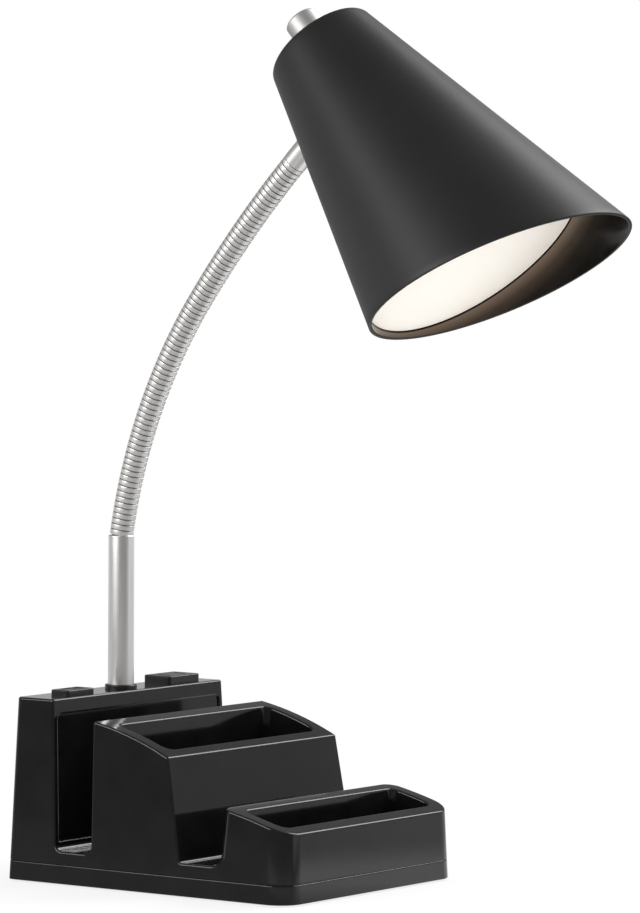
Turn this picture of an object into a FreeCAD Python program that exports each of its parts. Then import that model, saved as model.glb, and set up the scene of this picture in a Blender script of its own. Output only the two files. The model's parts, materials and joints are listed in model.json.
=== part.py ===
import FreeCAD, Part
import math
import os

from FreeCAD import Placement, Rotation, Vector

# A desk lamp on a moulded organiser base. Lengths are millimetres, angles degrees.
# The origin is on the desk under the middle of the base. X runs to the right, Y to the back
# and Z up, and the lamp faces -Y.

# Base outline and mould
base_width = 141.0
base_depth = 166.0
side_draft_deg = 2.2
front_draft_deg = 2.2
rear_draft_deg = 1.8
front_corner_radius = 12.0
rear_corner_radius = 3.0
rim_radius = 1.1
wall = 2.4
fit_gap = 0.25
slip_gap = 0.05
overrun = 1.0

# Heights above the desk
pad_proud = 0.8
parting_height = 10.0
plinth_height = 16.4
ridge_height = 88.5
parting_groove = 0.5

# Rear ridge that carries the sockets and the post
ridge_foot_depth = 28.5
ridge_lean_deg = 2.7
ridge_band = 7.0
panel_inset = 3.0
panel_recess = 0.8

# Tablet slot behind the pen cup
slot_width = 21.4
slot_foot_radius = 4.0

# Pen cup with its crowned, sloping rim
cup_depth_share = 0.562
cup_rear_lean_deg = 0.6
cup_front_lean_deg = 9.9
cup_rear_height = 79.7
cup_front_height = 65.4
cup_crown = 1.7
cup_side_rim = 7.6
cup_rear_rim = 8.6
cup_front_rim = 6.5
cup_floor_height = 19.5
pocket_draft_deg = 1.0
pocket_corner_radius = 5.0

# Phone cradle between the cup and the front tray
cradle_width = 20.5
cradle_foot_radius = 1.0

# Front tray with its sloping rim
tray_rear_height = 44.0
tray_front_height = 33.7
tray_crown = 0.8
tray_rear_lean_deg = 5.0
tray_rear_corner_radius = 8.0
tray_foot_radius = 5.0
tray_corner_shift = 0.4
tray_side_rim = 8.0
tray_rear_rim = 7.0
tray_front_rim = 7.7
tray_floor_height = 19.5

# Bottom cover, pad and ballast
lip_height = 3.0
lip_thickness = 1.4
pad_side_inset = 18.5
pad_end_inset = 27.0
pad_thickness = 1.5
pad_corner_radius = 8.0
ballast_side_inset = 24.5
ballast_end_inset = 29.0
ballast_thickness = 6.0
ballast_centre_y = 3.0
ballast_corner_radius = 4.0
peg_radius = 2.0
peg_inset = 8.0

# Cover screws
screw_radius = 1.5
screw_head_radius = 2.8
screw_head_height = 2.0
screw_length = 10.5
screw_sink = 0.6
screw_side_inset = 18.5
screw_front_inset = 21.0
boss_radius = 4.2
rear_boss_length = 16.0
rib_thickness = 2.0

# Charging socket on the left of the ridge
usb_side_inset = 32.5
usb_bezel_width = 21.0
usb_bezel_depth = 11.0
usb_bezel_proud = 2.5
usb_bezel_skirt = 3.0
usb_mouth_width = 13.1
usb_mouth_depth = 5.7
usb_shell_wall = 0.4
usb_shell_length = 14.0
usb_shell_sunk = 0.4
usb_tongue_width = 11.1
usb_tongue_thickness = 1.8
usb_tongue_length = 9.5
board_width = 34.0
board_depth = 15.0
board_thickness = 1.6
board_boss_radius = 2.4
board_screw_spacing = 28.0
board_screw_radius = 1.0
board_screw_length = 6.0
transformer_size = 11.0
capacitor_radius = 4.0
capacitor_length = 12.0
bezel_corner_radius = 1.6
bezel_edge_radius = 0.6

# Mains outlet on the right of the ridge
outlet_side_inset = 29.5
outlet_width = 24.5
outlet_depth = 16.5
outlet_proud = 4.0
outlet_body_inset = 1.4
outlet_body_depth = 16.0
blade_spacing = 12.7
blade_slot_width = 2.2
blade_slot_long = 8.4
blade_slot_short = 7.0
outlet_face_thickness = 2.5
contact_thickness = 0.6
contact_depth = 9.0

# Cord inlet low in the rear wall
inlet_side_inset = 36.5
inlet_height = 24.0
inlet_bore_radius = 2.6
inlet_sleeve_radius = 4.0
inlet_flange_radius = 6.0
inlet_flange_thickness = 1.6
inlet_seat_depth = 1.2
inlet_sleeve_length = 5.0

# Post and its fixing
post_radius = 6.35
post_wall = 0.8
post_top_height = 163.4
post_collar_length = 11.0
post_boss_radius = 8.5
post_boss_height = 5.0
bushing_radius = 7.8
bushing_height = 2.0
bushing_ledge = 0.8
nipple_radius = 5.0
nipple_bore_radius = 3.2
nipple_below = 9.0
post_nut_across = 14.0
post_nut_height = 4.0
post_washer_radius = 7.6
post_washer_thickness = 0.9

# Gooseneck: a chain of ribbed links on ball joints
neck_turn_deg = -3.1
neck_start_deg = 9.5
neck_middle_deg = 36.6
neck_end_deg = 45.8
neck_lower_length = 125.2
neck_upper_length = 90.0
link_count = 8
ribs_per_link = 9
rib_crest_radius = 5.8
rib_depth = 0.65
rib_place_shares = (0.0, 0.15, 0.5, 0.85)
rib_height_shares = (0.0, 0.85, 1.0, 0.85)
neck_bore_radius = 2.5
ball_radius = 4.2
ball_gap = 0.3
cup_rim_drop = 0.6
ball_stand = 2.4
neck_start_clearance = 1.2
stub_radius = 4.0
stub_bore_radius = 3.0
stub_length = 9.0

# Shade
shade_small_radius = 26.9
shade_flare_deg = 13.6
shade_length = 150.7
shade_tilt_deg = 46.6
mouth_cut_deg = 16.0
shade_wall = 1.8
shoulder_radius = 3.0
mouth_edge_radius = 0.6
ledge_place = 118.0
ledge_length = 2.0
ledge_height = 1.3
neck_seat_place = 29.7
ferrule_length = 14.5
ferrule_radius = 5.9
seat_boss_radius = 8.0
seat_boss_depth = 9.0
shade_nipple_radius = 4.0
shade_nipple_end = 7.0
shade_nut_across = 12.0
shade_nut_height = 3.0
shade_washer_radius = 6.8
shade_washer_thickness = 0.8

# Light unit in the shade
carrier_thickness = 2.0
carrier_rim_height = 5.0
led_board_radius = 42.0
led_board_thickness = 1.2
led_ring_radius = 30.0
led_ring_count = 12
led_size = 3.0
led_height = 0.8
diffuser_place = 131.0
diffuser_thickness = 2.0
diffuser_gap = 0.3
driver_width = 46.0
driver_depth = 26.0
driver_height = 16.0
driver_corner_radius = 2.0

# Rotary switch and knob on the small end
switch_radius = 8.5
switch_height = 14.0
switch_neck_radius = 4.5
switch_neck_length = 2.6
switch_shaft_radius = 3.0
switch_shaft_length = 11.0
switch_shaft_root = 6.0
switch_nut_across = 11.0
switch_nut_height = 2.0
knob_radius = 8.2
knob_height = 15.6
knob_lift = 0.5
knob_recess_radius = 7.0
knob_recess_depth = 3.0
knob_edge_radius = 1.4

# Values that follow from the sizes above
cover_bottom = pad_proud
cover_floor = cover_bottom + wall
lip_top = parting_height + lip_height
neck_length = neck_lower_length + neck_upper_length
link_length = neck_length / link_count
rib_groove_radius = rib_crest_radius - rib_depth
post_bottom = ridge_height + bushing_ledge
flare = math.tan(math.radians(shade_flare_deg))
pad_width = base_width - 2 * pad_side_inset
pad_depth = base_depth - 2 * pad_end_inset
ballast_width = base_width - 2 * ballast_side_inset
ballast_depth = base_depth - 2 * ballast_end_inset
peg_spacing = ballast_width - 2 * peg_inset
usb_centre_x = usb_side_inset - base_width / 2
outlet_centre_x = base_width / 2 - outlet_side_inset
inlet_x = base_width / 2 - inlet_side_inset


def slope(angle_deg):
    """Sideways run per unit of height of a wall that leans by an angle."""
    return math.tan(math.radians(angle_deg))


def side_x(z):
    return base_width / 2 - z * slope(side_draft_deg)


def front_y(z):
    return -base_depth / 2 + z * slope(front_draft_deg)


def rear_y(z):
    return base_depth / 2 - z * slope(rear_draft_deg)


ridge_foot_y = rear_y(plinth_height) - ridge_foot_depth
cup_rear_foot_y = ridge_foot_y - slot_width
pockets_depth = cup_rear_foot_y - cradle_width - front_y(plinth_height)
cup_front_foot_y = cup_rear_foot_y - cup_depth_share * pockets_depth
tray_rear_foot_y = cup_front_foot_y - cradle_width


def ridge_front_y(z):
    return ridge_foot_y + (z - plinth_height) * slope(ridge_lean_deg)


def cup_rear_y(z):
    return cup_rear_foot_y + (z - plinth_height) * slope(cup_rear_lean_deg)


def cup_front_y(z):
    return cup_front_foot_y + (z - plinth_height) * slope(cup_front_lean_deg)


def tray_rear_y(z):
    return tray_rear_foot_y - (z - plinth_height) * slope(tray_rear_lean_deg)


ridge_centre_y = (ridge_front_y(ridge_height) + rear_y(ridge_height)) / 2


def moved_by(function, offset):
    """The same leaning wall, moved sideways by an offset."""
    return lambda z: function(z) + offset


# General shapes


def prism_along_x(points, half_width):
    """Solid between -half_width and half_width from an outline of (y, z) points."""
    outline = [Vector(-half_width, y, z) for y, z in points]
    face = Part.Face(Part.makePolygon(outline + [outline[0]]))
    return face.extrude(Vector(2 * half_width, 0, 0))


def drafted_block(z_low, z_high, half_width, front, rear):
    """Solid between two heights, with flat walls where the three functions of height say."""
    low, high = half_width(z_low), half_width(z_high)
    widest = max(low, high)
    places = [(front, z_low), (rear, z_low), (rear, z_high), (front, z_high)]
    side_view = prism_along_x([(wall_y(z), z) for wall_y, z in places], widest)
    near = min(front(z_low), front(z_high))
    far = max(rear(z_low), rear(z_high))
    corners = [(-low, z_low), (low, z_low), (high, z_high), (-high, z_high)]
    outline = [Vector(x, near, z) for x, z in corners]
    face = Part.Face(Part.makePolygon(outline + [outline[0]]))
    return face.extrude(Vector(0, far - near, 0)).common(side_view)


def upright_edges(shape, is_front):
    """Edges that climb through the shape's whole height, on its front or its rear half."""
    box = shape.BoundBox
    middle = box.Center.y
    found = []
    for edge in shape.Edges:
        tall = edge.BoundBox.ZLength > box.ZLength / 2
        if tall and (edge.BoundBox.Center.y < middle) == is_front:
            found.append(edge)
    return found


def round_corners(shape, front_radius, rear_radius):
    """Round a drafted block's upright edges, with one radius in front and one at the rear."""
    shape = shape.makeFillet(front_radius, upright_edges(shape, True))
    return shape.makeFillet(rear_radius, upright_edges(shape, False))


def rounded_slab(centre, width, depth, height, radius):
    """Upright slab with rounded corners. The centre is the middle of its underside."""
    slab = Part.makeBox(width, depth, height, centre - Vector(width / 2, depth / 2, 0))
    return slab.makeFillet(radius, upright_edges(slab, True) + upright_edges(slab, False))


def box_at(centre, width, depth, height):
    """Box whose underside is centred on a point."""
    return Part.makeBox(width, depth, height, centre - Vector(width / 2, depth / 2, 0))


def rod(centre, direction, radius, length):
    return Part.makeCylinder(radius, length, centre, direction)


def tube(centre, direction, radius, bore_radius, length):
    return rod(centre, direction, radius, length).cut(rod(centre, direction, bore_radius, length))


def hexagon(centre, direction, across, height, bore_radius):
    """Hexagonal nut with a plain bore."""
    sides = 6
    corner = across / 2 / math.cos(math.pi / sides)
    points = [
        Vector(corner * math.cos(2 * math.pi * i / sides), corner * math.sin(2 * math.pi * i / sides), 0)
        for i in range(sides)
    ]
    face = Part.Face(Part.makePolygon(points + [points[0]]))
    nut = face.extrude(Vector(0, 0, height))
    nut = nut.cut(rod(Vector(0, 0, 0), Vector(0, 0, 1), bore_radius, height))
    nut.Placement = Placement(centre, Rotation(Vector(0, 0, 1), direction))
    return nut


def revolved(points):
    """Solid turned about Z from an outline given as (radius, height) points."""
    outline = [Vector(r, 0, z) for r, z in points]
    face = Part.Face(Part.makePolygon(outline + [outline[0]]))
    return face.revolve(Vector(0, 0, 0), Vector(0, 0, 1), 360)


def top_face(shape):
    """The face that reaches highest on average."""
    return max(shape.Faces, key=lambda face: face.CenterOfMass.z)


def normal_at(face, point):
    u, v = face.Surface.parameter(point)
    return face.normalAt(u, v)


def is_outer_edge(shape, edge):
    """True for an edge where two faces meet at an angle with the solid inside that angle."""
    faces = shape.ancestorsOfType(edge, Part.Face)
    if len(faces) != 2:
        return False
    middle = edge.valueAt((edge.FirstParameter + edge.LastParameter) / 2)
    first, second = (normal_at(face, middle) for face in faces)
    nearly_flat_share = 0.97
    if first.dot(second) > nearly_flat_share:
        return False
    probe = middle + (first - second).normalize() * slip_gap
    return not shape.isInside(probe, slip_gap / 100, True)


# Base housing


def crowned_top(rear, front, crown, lowered):
    """Cylinder along X whose upper side runs from a rear edge over a crown to a front edge."""
    middle = (rear + front) / 2 + Vector(0, 0, crown)
    circle = Part.Arc(rear, middle, front).toShape().Curve
    start = Vector(-base_width, circle.Center.y, circle.Center.z)
    return rod(start, Vector(1, 0, 0), circle.Radius - lowered, 2 * base_width)


def cup_top(lowered=0.0):
    rear = Vector(0, cup_rear_y(cup_rear_height), cup_rear_height)
    front = Vector(0, cup_front_y(cup_front_height), cup_front_height)
    return crowned_top(rear, front, cup_crown, lowered)


def tray_top(lowered=0.0):
    rear = Vector(0, tray_rear_y(tray_rear_height), tray_rear_height)
    front = Vector(0, front_y(tray_front_height), tray_front_height)
    return crowned_top(rear, front, tray_crown, lowered)


def wide(z):
    return base_width


def floor_edges(tool):
    """The two edges along X at the foot of a cutting tool."""
    limit = tool.BoundBox.ZMin + overrun / 2
    return [e for e in tool.Edges if e.BoundBox.ZMax < limit and e.BoundBox.XLength > base_width]


def slot_tool():
    tool = drafted_block(plinth_height, ridge_height + overrun, wide, cup_rear_y, ridge_front_y)
    return tool.makeFillet(slot_foot_radius, floor_edges(tool))


def cradle_middle(z):
    return tray_rear_foot_y + cradle_width / 2


def cradle_tool():
    """Rear part of the cradle, with a small radius at the foot of the pen cup."""
    front = moved_by(cradle_middle, -overrun)
    tool = drafted_block(plinth_height, ridge_height + overrun, wide, front, cup_front_y)
    rear_foot = max(floor_edges(tool), key=lambda e: e.BoundBox.Center.y)
    return tool.makeFillet(cradle_foot_radius, [rear_foot])


def above(top, front, rear):
    """Space above a crowned top, between two depths."""
    height = ridge_height + overrun - plinth_height
    corner = Vector(-base_width, front, plinth_height)
    return Part.makeBox(2 * base_width, rear - front, height, corner).cut(top)


def over_cup_tool():
    front = cup_front_foot_y - cradle_width / 2
    return above(cup_top(), front, cup_rear_foot_y + slot_width / 2)


def over_tray_tool():
    return above(tray_top(), front_y(0) - overrun, cradle_middle(0))


def around_tray_tool():
    """Front part of the cradle. It leaves the tray's rounded rear corners and their flared foot."""
    reach = 2 * tray_rear_corner_radius
    near = tray_rear_foot_y - reach
    depth = cradle_middle(0) - near
    start = Vector(-base_width, near, plinth_height - overrun)
    floor = Part.makeBox(2 * base_width, depth, overrun, start)
    stand = drafted_block(
        plinth_height - overrun,
        ridge_height + 2 * overrun,
        moved_by(side_x, tray_corner_shift),
        moved_by(cradle_middle, -depth),
        tray_rear_y,
    )
    stand = stand.makeFillet(tray_rear_corner_radius, upright_edges(stand, False))
    stand = stand.fuse(floor).removeSplitter()
    inside = base_width / 2 + overrun
    foot = [
        e
        for e in stand.Edges
        if e.BoundBox.ZLength < slip_gap
        and abs(e.BoundBox.Center.z - plinth_height) < slip_gap
        and max(abs(e.BoundBox.XMin), abs(e.BoundBox.XMax)) < inside
        and e.BoundBox.YMax > near + slip_gap
        and e.BoundBox.YMax < cradle_middle(0) - slip_gap
    ]
    stand = stand.makeFillet(tray_foot_radius, foot)
    height = ridge_height + overrun - plinth_height
    return Part.makeBox(2 * base_width, depth, height, Vector(-base_width, near, plinth_height)).cut(stand)


def pocket(z_floor, z_rim, side_rim, front_wall, rear_wall, grown):
    """Pocket that narrows to its floor. Grown by a wall it is the pocket's own skin."""
    top = ridge_height + overrun

    def half_width(z):
        return side_x(z_rim) - side_rim + grown - (z_rim - z) * slope(pocket_draft_deg)

    front = moved_by(front_wall, -grown)
    rear = moved_by(rear_wall, grown)
    block = drafted_block(z_floor - grown, top, half_width, front, rear)
    corner = pocket_corner_radius + grown
    return round_corners(block, corner, corner)


def cup_pocket(grown=0.0):
    rear_rim = cup_rear_y(cup_rear_height) - cup_rear_rim
    front_rim = cup_front_y(cup_front_height) + cup_front_rim

    def front(z):
        return front_rim + (cup_front_height - z) * slope(pocket_draft_deg)

    def rear(z):
        return rear_rim - (cup_rear_height - z) * slope(pocket_draft_deg)

    return pocket(cup_floor_height, cup_rear_height, cup_side_rim, front, rear, grown)


def tray_pocket(grown=0.0):
    rear_rim = tray_rear_y(tray_rear_height) - tray_rear_rim
    front_rim = front_y(tray_front_height) + tray_front_rim

    def front(z):
        return front_rim + (tray_front_height - z) * slope(pocket_draft_deg)

    def rear(z):
        return rear_rim - (tray_rear_height - z) * slope(pocket_draft_deg)

    return pocket(tray_floor_height, tray_rear_height, tray_side_rim, front, rear, grown)


def housing_outside():
    """The moulding as a solid mass with its slot, cradle, slopes and pockets."""
    mass = drafted_block(parting_height, ridge_height, side_x, front_y, rear_y)
    mass = round_corners(mass, front_corner_radius, rear_corner_radius)
    foot = [e for e in mass.Edges if e.BoundBox.ZMax < parting_height + slip_gap]
    mass = mass.makeFillet(parting_groove, foot)
    for tool in (slot_tool(), cradle_tool(), over_cup_tool(), over_tray_tool(), around_tray_tool()):
        mass = mass.cut(tool)
    mass = mass.removeSplitter()
    for cavity in (cup_pocket(), tray_pocket()):
        mass = mass.cut(cavity)
    upper = [e for e in mass.Edges if e.BoundBox.ZMin > plinth_height - overrun]
    return mass.makeFillet(rim_radius, [e for e in upper if is_outer_edge(mass, e)])


def housing_voids():
    """The hollow under the skin, open at the parting line."""
    low = parting_height - overrun
    inner_side = moved_by(side_x, -wall)
    inner_front = moved_by(front_y, wall)
    inner_rear = moved_by(rear_y, -wall)
    plinth = drafted_block(low, plinth_height - wall, inner_side, inner_front, inner_rear)
    plinth = round_corners(plinth, front_corner_radius - wall, rear_corner_radius - wall)
    ridge_front = moved_by(ridge_front_y, wall)
    ridge = drafted_block(low, ridge_height - wall, inner_side, ridge_front, inner_rear)
    cup = drafted_block(
        low, ridge_height, inner_side, moved_by(cup_front_y, wall), moved_by(cup_rear_y, -wall)
    )
    cup = cup.common(cup_top(wall)).cut(cup_pocket(wall))
    tray = drafted_block(low, ridge_height, inner_side, inner_front, moved_by(tray_rear_y, -wall))
    tray = round_corners(tray, front_corner_radius - wall, tray_rear_corner_radius - wall)
    tray = tray.common(tray_top(wall)).cut(tray_pocket(wall))
    return [plinth, ridge, cup, tray]


def slot_panel():
    """Shallow recess in the slot's rear wall, below a plain band at the top of the ridge."""
    panel = drafted_block(
        plinth_height + slot_foot_radius,
        ridge_height - ridge_band,
        moved_by(side_x, -panel_inset),
        moved_by(ridge_front_y, -overrun),
        moved_by(ridge_front_y, panel_recess),
    )
    top_edges = [e for e in panel.Edges if e.BoundBox.ZMin > panel.BoundBox.ZMax - slip_gap]
    corners = [e for e in top_edges if e.BoundBox.XLength < slip_gap]
    return panel.makeFillet(panel_inset, corners)


def screw_places():
    """Centres of the cover screws on the desk plane."""
    places = []
    for y in (front_y(0) + screw_front_inset, ridge_centre_y):
        for side in (-1, 1):
            places.append(Vector(side * (base_width / 2 - screw_side_inset), y, 0))
    return places


def boss_top(place):
    """Front bosses hang from the tray's floor skin, rear ones stand free in the ridge."""
    if place.y < 0:
        return tray_floor_height - wall / 2
    return parting_height + rear_boss_length


def rear_boss_rib(place):
    """Web that ties a rear boss to the ridge's front and rear walls."""
    rib = drafted_block(
        lip_top + fit_gap,
        boss_top(place),
        lambda z: rib_thickness / 2,
        moved_by(ridge_front_y, wall / 2),
        moved_by(rear_y, -wall / 2),
    )
    return rib.translated(Vector(place.x, 0, 0))


def board_screw_places():
    """Where the charging board hangs from the ridge's ceiling."""
    return [
        Vector(usb_centre_x + side * board_screw_spacing / 2, ridge_centre_y, 0) for side in (-1, 1)
    ]


usb_shell_top = ridge_height + usb_bezel_proud - usb_shell_sunk
board_top = usb_shell_top - usb_shell_length


def base_housing():
    up = Vector(0, 0, 1)
    housing = housing_outside()
    for void in housing_voids():
        housing = housing.cut(void)
    housing = housing.cut(slot_panel())
    for place in screw_places():
        top = boss_top(place)
        housing = housing.fuse(rod(place + up * parting_height, up, boss_radius, top - parting_height))
        if place.y > 0:
            housing = housing.fuse(rear_boss_rib(place))
    post_axis = Vector(0, ridge_centre_y, 0)
    ceiling = ridge_height - wall
    boss_low = ceiling - post_boss_height
    boss_length = post_boss_height + wall / 2
    housing = housing.fuse(rod(post_axis + up * boss_low, up, post_boss_radius, boss_length))
    for place in board_screw_places():
        length = ceiling - board_top + wall / 2
        housing = housing.fuse(rod(place + up * board_top, up, board_boss_radius, length))
    housing = housing.removeSplitter()
    for place in screw_places():
        bore = rod(place + up * (parting_height - overrun), up, screw_radius + slip_gap, screw_length)
        housing = housing.cut(bore)
    for place in board_screw_places():
        start = place + up * (board_top - overrun)
        housing = housing.cut(rod(start, up, board_screw_radius + slip_gap, board_screw_length))
    housing = housing.cut(
        rod(post_axis + up * (boss_low - overrun), up, nipple_radius + slip_gap, ridge_height)
    )
    usb_hole = box_at(
        Vector(usb_centre_x, ridge_centre_y, ceiling - overrun),
        usb_bezel_width - 2 * wall + 2 * slip_gap,
        usb_bezel_depth - wall + 2 * slip_gap,
        wall + 2 * overrun,
    )
    outlet_hole = box_at(
        Vector(outlet_centre_x, ridge_centre_y, ceiling - overrun),
        outlet_width - 2 * outlet_body_inset + 2 * slip_gap,
        outlet_depth - 2 * outlet_body_inset + 2 * slip_gap,
        wall + 2 * overrun,
    )
    housing = housing.cut(usb_hole).cut(outlet_hole)
    return housing.cut(inlet_hole())


# Bottom cover and what lies on it


def bottom_cover():
    up = Vector(0, 0, 1)
    cover = drafted_block(cover_bottom, parting_height, side_x, front_y, rear_y)
    cover = round_corners(cover, front_corner_radius, rear_corner_radius)
    rims = [e for e in cover.Edges if e.BoundBox.ZLength < slip_gap]
    cover = cover.makeFillet(parting_groove, rims)
    hollow = drafted_block(
        cover_floor,
        parting_height + overrun,
        moved_by(side_x, -wall),
        moved_by(front_y, wall),
        moved_by(rear_y, -wall),
    )
    hollow = round_corners(hollow, front_corner_radius - wall, rear_corner_radius - wall)
    cover = cover.cut(hollow).fuse(cover_lip())
    for place in screw_places():
        cover = cover.fuse(rod(place + up * cover_floor, up, boss_radius, parting_height - cover_floor))
    for place in peg_places():
        length = ballast_thickness + overrun
        cover = cover.fuse(rod(place + up * cover_floor, up, peg_radius, length))
    cover = cover.removeSplitter()
    for place in screw_places():
        cover = cover.cut(rod(place, up, screw_radius + slip_gap, parting_height + overrun))
        sink = cover_bottom + screw_sink + screw_head_height
        cover = cover.cut(rod(place, up, screw_head_radius + slip_gap, sink))
    return cover.cut(pad_slab(fit_gap))


def cover_lip():
    """Upstand on the cover that reaches inside the housing's wall."""
    outer_inset = wall + fit_gap
    inner_inset = outer_inset + lip_thickness

    def ring(inset, z_low, z_high):
        block = drafted_block(
            z_low, z_high, moved_by(side_x, -inset), moved_by(front_y, inset), moved_by(rear_y, -inset)
        )
        return block.makeFillet(front_corner_radius - inset, upright_edges(block, True))

    solid = ring(outer_inset, cover_floor, lip_top)
    lip = solid.cut(ring(inner_inset, cover_floor - overrun, lip_top + overrun))
    weld = ring(wall - slip_gap, cover_floor, parting_height - overrun)
    return lip.fuse(weld.cut(ring(inner_inset, cover_floor - overrun, parting_height)))


def pad_slab(grown):
    width, depth = pad_width + 2 * grown, pad_depth + 2 * grown
    return rounded_slab(Vector(0, 0, 0), width, depth, pad_thickness, pad_corner_radius)


def non_slip_pad():
    return pad_slab(0)


def peg_places():
    """Two locating pegs that pass through the ballast plate."""
    return [Vector(side * peg_spacing / 2, ballast_centre_y, 0) for side in (-1, 1)]


def ballast_plate():
    plate = rounded_slab(
        Vector(0, ballast_centre_y, cover_floor),
        ballast_width,
        ballast_depth,
        ballast_thickness,
        ballast_corner_radius,
    )
    for place in peg_places():
        plate = plate.cut(rod(place, Vector(0, 0, 1), peg_radius + fit_gap, parting_height))
    return plate


def pan_screw(place, head_z, head_radius, head_height, radius, length):
    """Screw with its head below, pointing up."""
    up = Vector(0, 0, 1)
    head = rod(place + up * head_z, up, head_radius, head_height)
    shank = rod(place + up * (head_z + head_height), up, radius, length)
    return head.fuse(shank).removeSplitter()


def cover_screws():
    return [
        pan_screw(
            place,
            cover_bottom + screw_sink,
            screw_head_radius,
            screw_head_height,
            screw_radius,
            screw_length,
        )
        for place in screw_places()
    ]


# Charging socket


def usb_bezel():
    """Raised frame round the charging socket, with a skirt that drops into the ridge."""
    centre = Vector(usb_centre_x, ridge_centre_y, ridge_height)
    frame = rounded_slab(centre, usb_bezel_width, usb_bezel_depth, usb_bezel_proud, bezel_corner_radius)
    frame = frame.makeFillet(bezel_edge_radius, top_face(frame).Edges)
    skirt = box_at(
        centre - Vector(0, 0, usb_bezel_skirt),
        usb_bezel_width - 2 * wall,
        usb_bezel_depth - wall,
        usb_bezel_skirt,
    )
    mouth = box_at(
        centre - Vector(0, 0, usb_bezel_skirt + overrun),
        usb_mouth_width + 2 * slip_gap,
        usb_mouth_depth + 2 * slip_gap,
        usb_bezel_skirt + usb_bezel_proud + 2 * overrun,
    )
    return frame.fuse(skirt).removeSplitter().cut(mouth)


def usb_socket_shell():
    """Folded steel shell that stands on the board."""
    foot = Vector(usb_centre_x, ridge_centre_y, board_top)
    outer = box_at(foot, usb_mouth_width, usb_mouth_depth, usb_shell_length)
    inner = box_at(
        foot + Vector(0, 0, usb_shell_wall),
        usb_mouth_width - 2 * usb_shell_wall,
        usb_mouth_depth - 2 * usb_shell_wall,
        usb_shell_length,
    )
    return outer.cut(inner)


def usb_tongue():
    """Contact carrier inside the shell, set towards its rear wall as in a type A socket."""
    foot = Vector(usb_centre_x, ridge_centre_y, board_top + usb_shell_wall)
    base_height = usb_shell_length - usb_tongue_length - 2 * usb_shell_wall
    base = box_at(
        foot,
        usb_mouth_width - 2 * usb_shell_wall - 2 * slip_gap,
        usb_mouth_depth - 2 * usb_shell_wall - 2 * slip_gap,
        base_height,
    )
    shift = usb_mouth_depth / 2 - usb_shell_wall - usb_tongue_thickness
    tongue_foot = foot + Vector(0, shift / 2, base_height)
    tongue = box_at(tongue_foot, usb_tongue_width, usb_tongue_thickness, usb_tongue_length)
    return base.fuse(tongue).removeSplitter()


def charging_board():
    foot = Vector(usb_centre_x, ridge_centre_y, board_top - board_thickness)
    board = box_at(foot, board_width, board_depth, board_thickness)
    for place in board_screw_places():
        bore = rod(place, Vector(0, 0, 1), board_screw_radius + slip_gap, ridge_height)
        board = board.cut(bore)
    return board


def board_parts():
    """Transformer and capacitor under the charging board."""
    low = board_top - board_thickness
    core = box_at(
        Vector(usb_centre_x - transformer_size / 2, ridge_centre_y, low - transformer_size),
        transformer_size,
        transformer_size,
        transformer_size,
    )
    can_centre = Vector(usb_centre_x + transformer_size / 2, ridge_centre_y, low - capacitor_length)
    can = rod(can_centre, Vector(0, 0, 1), capacitor_radius, capacitor_length)
    return [core, can]


def board_screws():
    head_z = board_top - board_thickness - screw_head_height / 2
    return [
        pan_screw(
            place,
            head_z,
            board_boss_radius - slip_gap,
            screw_head_height / 2,
            board_screw_radius,
            board_screw_length - overrun,
        )
        for place in board_screw_places()
    ]


# Mains outlet


def blade_offsets():
    """Side and slot length of each of the two blades."""
    return [(-1, blade_slot_long), (1, blade_slot_short)]


def outlet_insert():
    """Raised outlet face and the insulating body that hangs from it into the ridge."""
    centre = Vector(outlet_centre_x, ridge_centre_y, ridge_height)
    face = rounded_slab(centre, outlet_width, outlet_depth, outlet_proud, bezel_corner_radius)
    face = face.makeFillet(bezel_edge_radius, top_face(face).Edges)
    body = box_at(
        centre - Vector(0, 0, outlet_body_depth),
        outlet_width - 2 * outlet_body_inset,
        outlet_depth - 2 * outlet_body_inset,
        outlet_body_depth,
    )
    insert = face.fuse(body).removeSplitter()
    for side, length in blade_offsets():
        foot = centre + Vector(side * blade_spacing / 2, 0, 0)
        slot = box_at(foot, blade_slot_width, length, outlet_proud + overrun)
        chamber_top = outlet_proud - outlet_face_thickness
        chamber = box_at(
            foot + Vector(0, 0, chamber_top - contact_depth),
            blade_slot_width + 2 * contact_thickness + 2 * slip_gap,
            blade_slot_long + 2 * slip_gap,
            contact_depth,
        )
        insert = insert.cut(slot).cut(chamber)
    return insert


def outlet_contacts():
    """A folded brass contact in each blade chamber."""
    contacts = []
    chamber_top = outlet_proud - outlet_face_thickness
    for side, _length in blade_offsets():
        foot = Vector(
            outlet_centre_x + side * blade_spacing / 2,
            ridge_centre_y,
            ridge_height + chamber_top - contact_depth,
        )
        outer_width = blade_slot_width + 2 * contact_thickness
        outer = box_at(foot, outer_width, blade_slot_short, contact_depth - contact_thickness)
        inner_foot = foot + Vector(0, 0, contact_thickness)
        inner = box_at(inner_foot, blade_slot_width, blade_slot_long, contact_depth)
        contacts.append(outer.cut(inner))
    return contacts


# Cord inlet


def inlet_seat():
    """Middle of the flat seat of the inlet's flange in the rear wall."""
    return Vector(inlet_x, rear_y(inlet_height) - inlet_seat_depth, inlet_height)


def inlet_hole():
    """Stepped hole in the rear wall for the inlet bushing."""
    seat = inlet_seat()
    back = Vector(0, 1, 0)
    flange = rod(seat, back, inlet_flange_radius + slip_gap, inlet_flange_radius)
    sleeve = rod(seat - back * wall, back, inlet_sleeve_radius + slip_gap, wall + overrun)
    return flange.fuse(sleeve)


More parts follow.
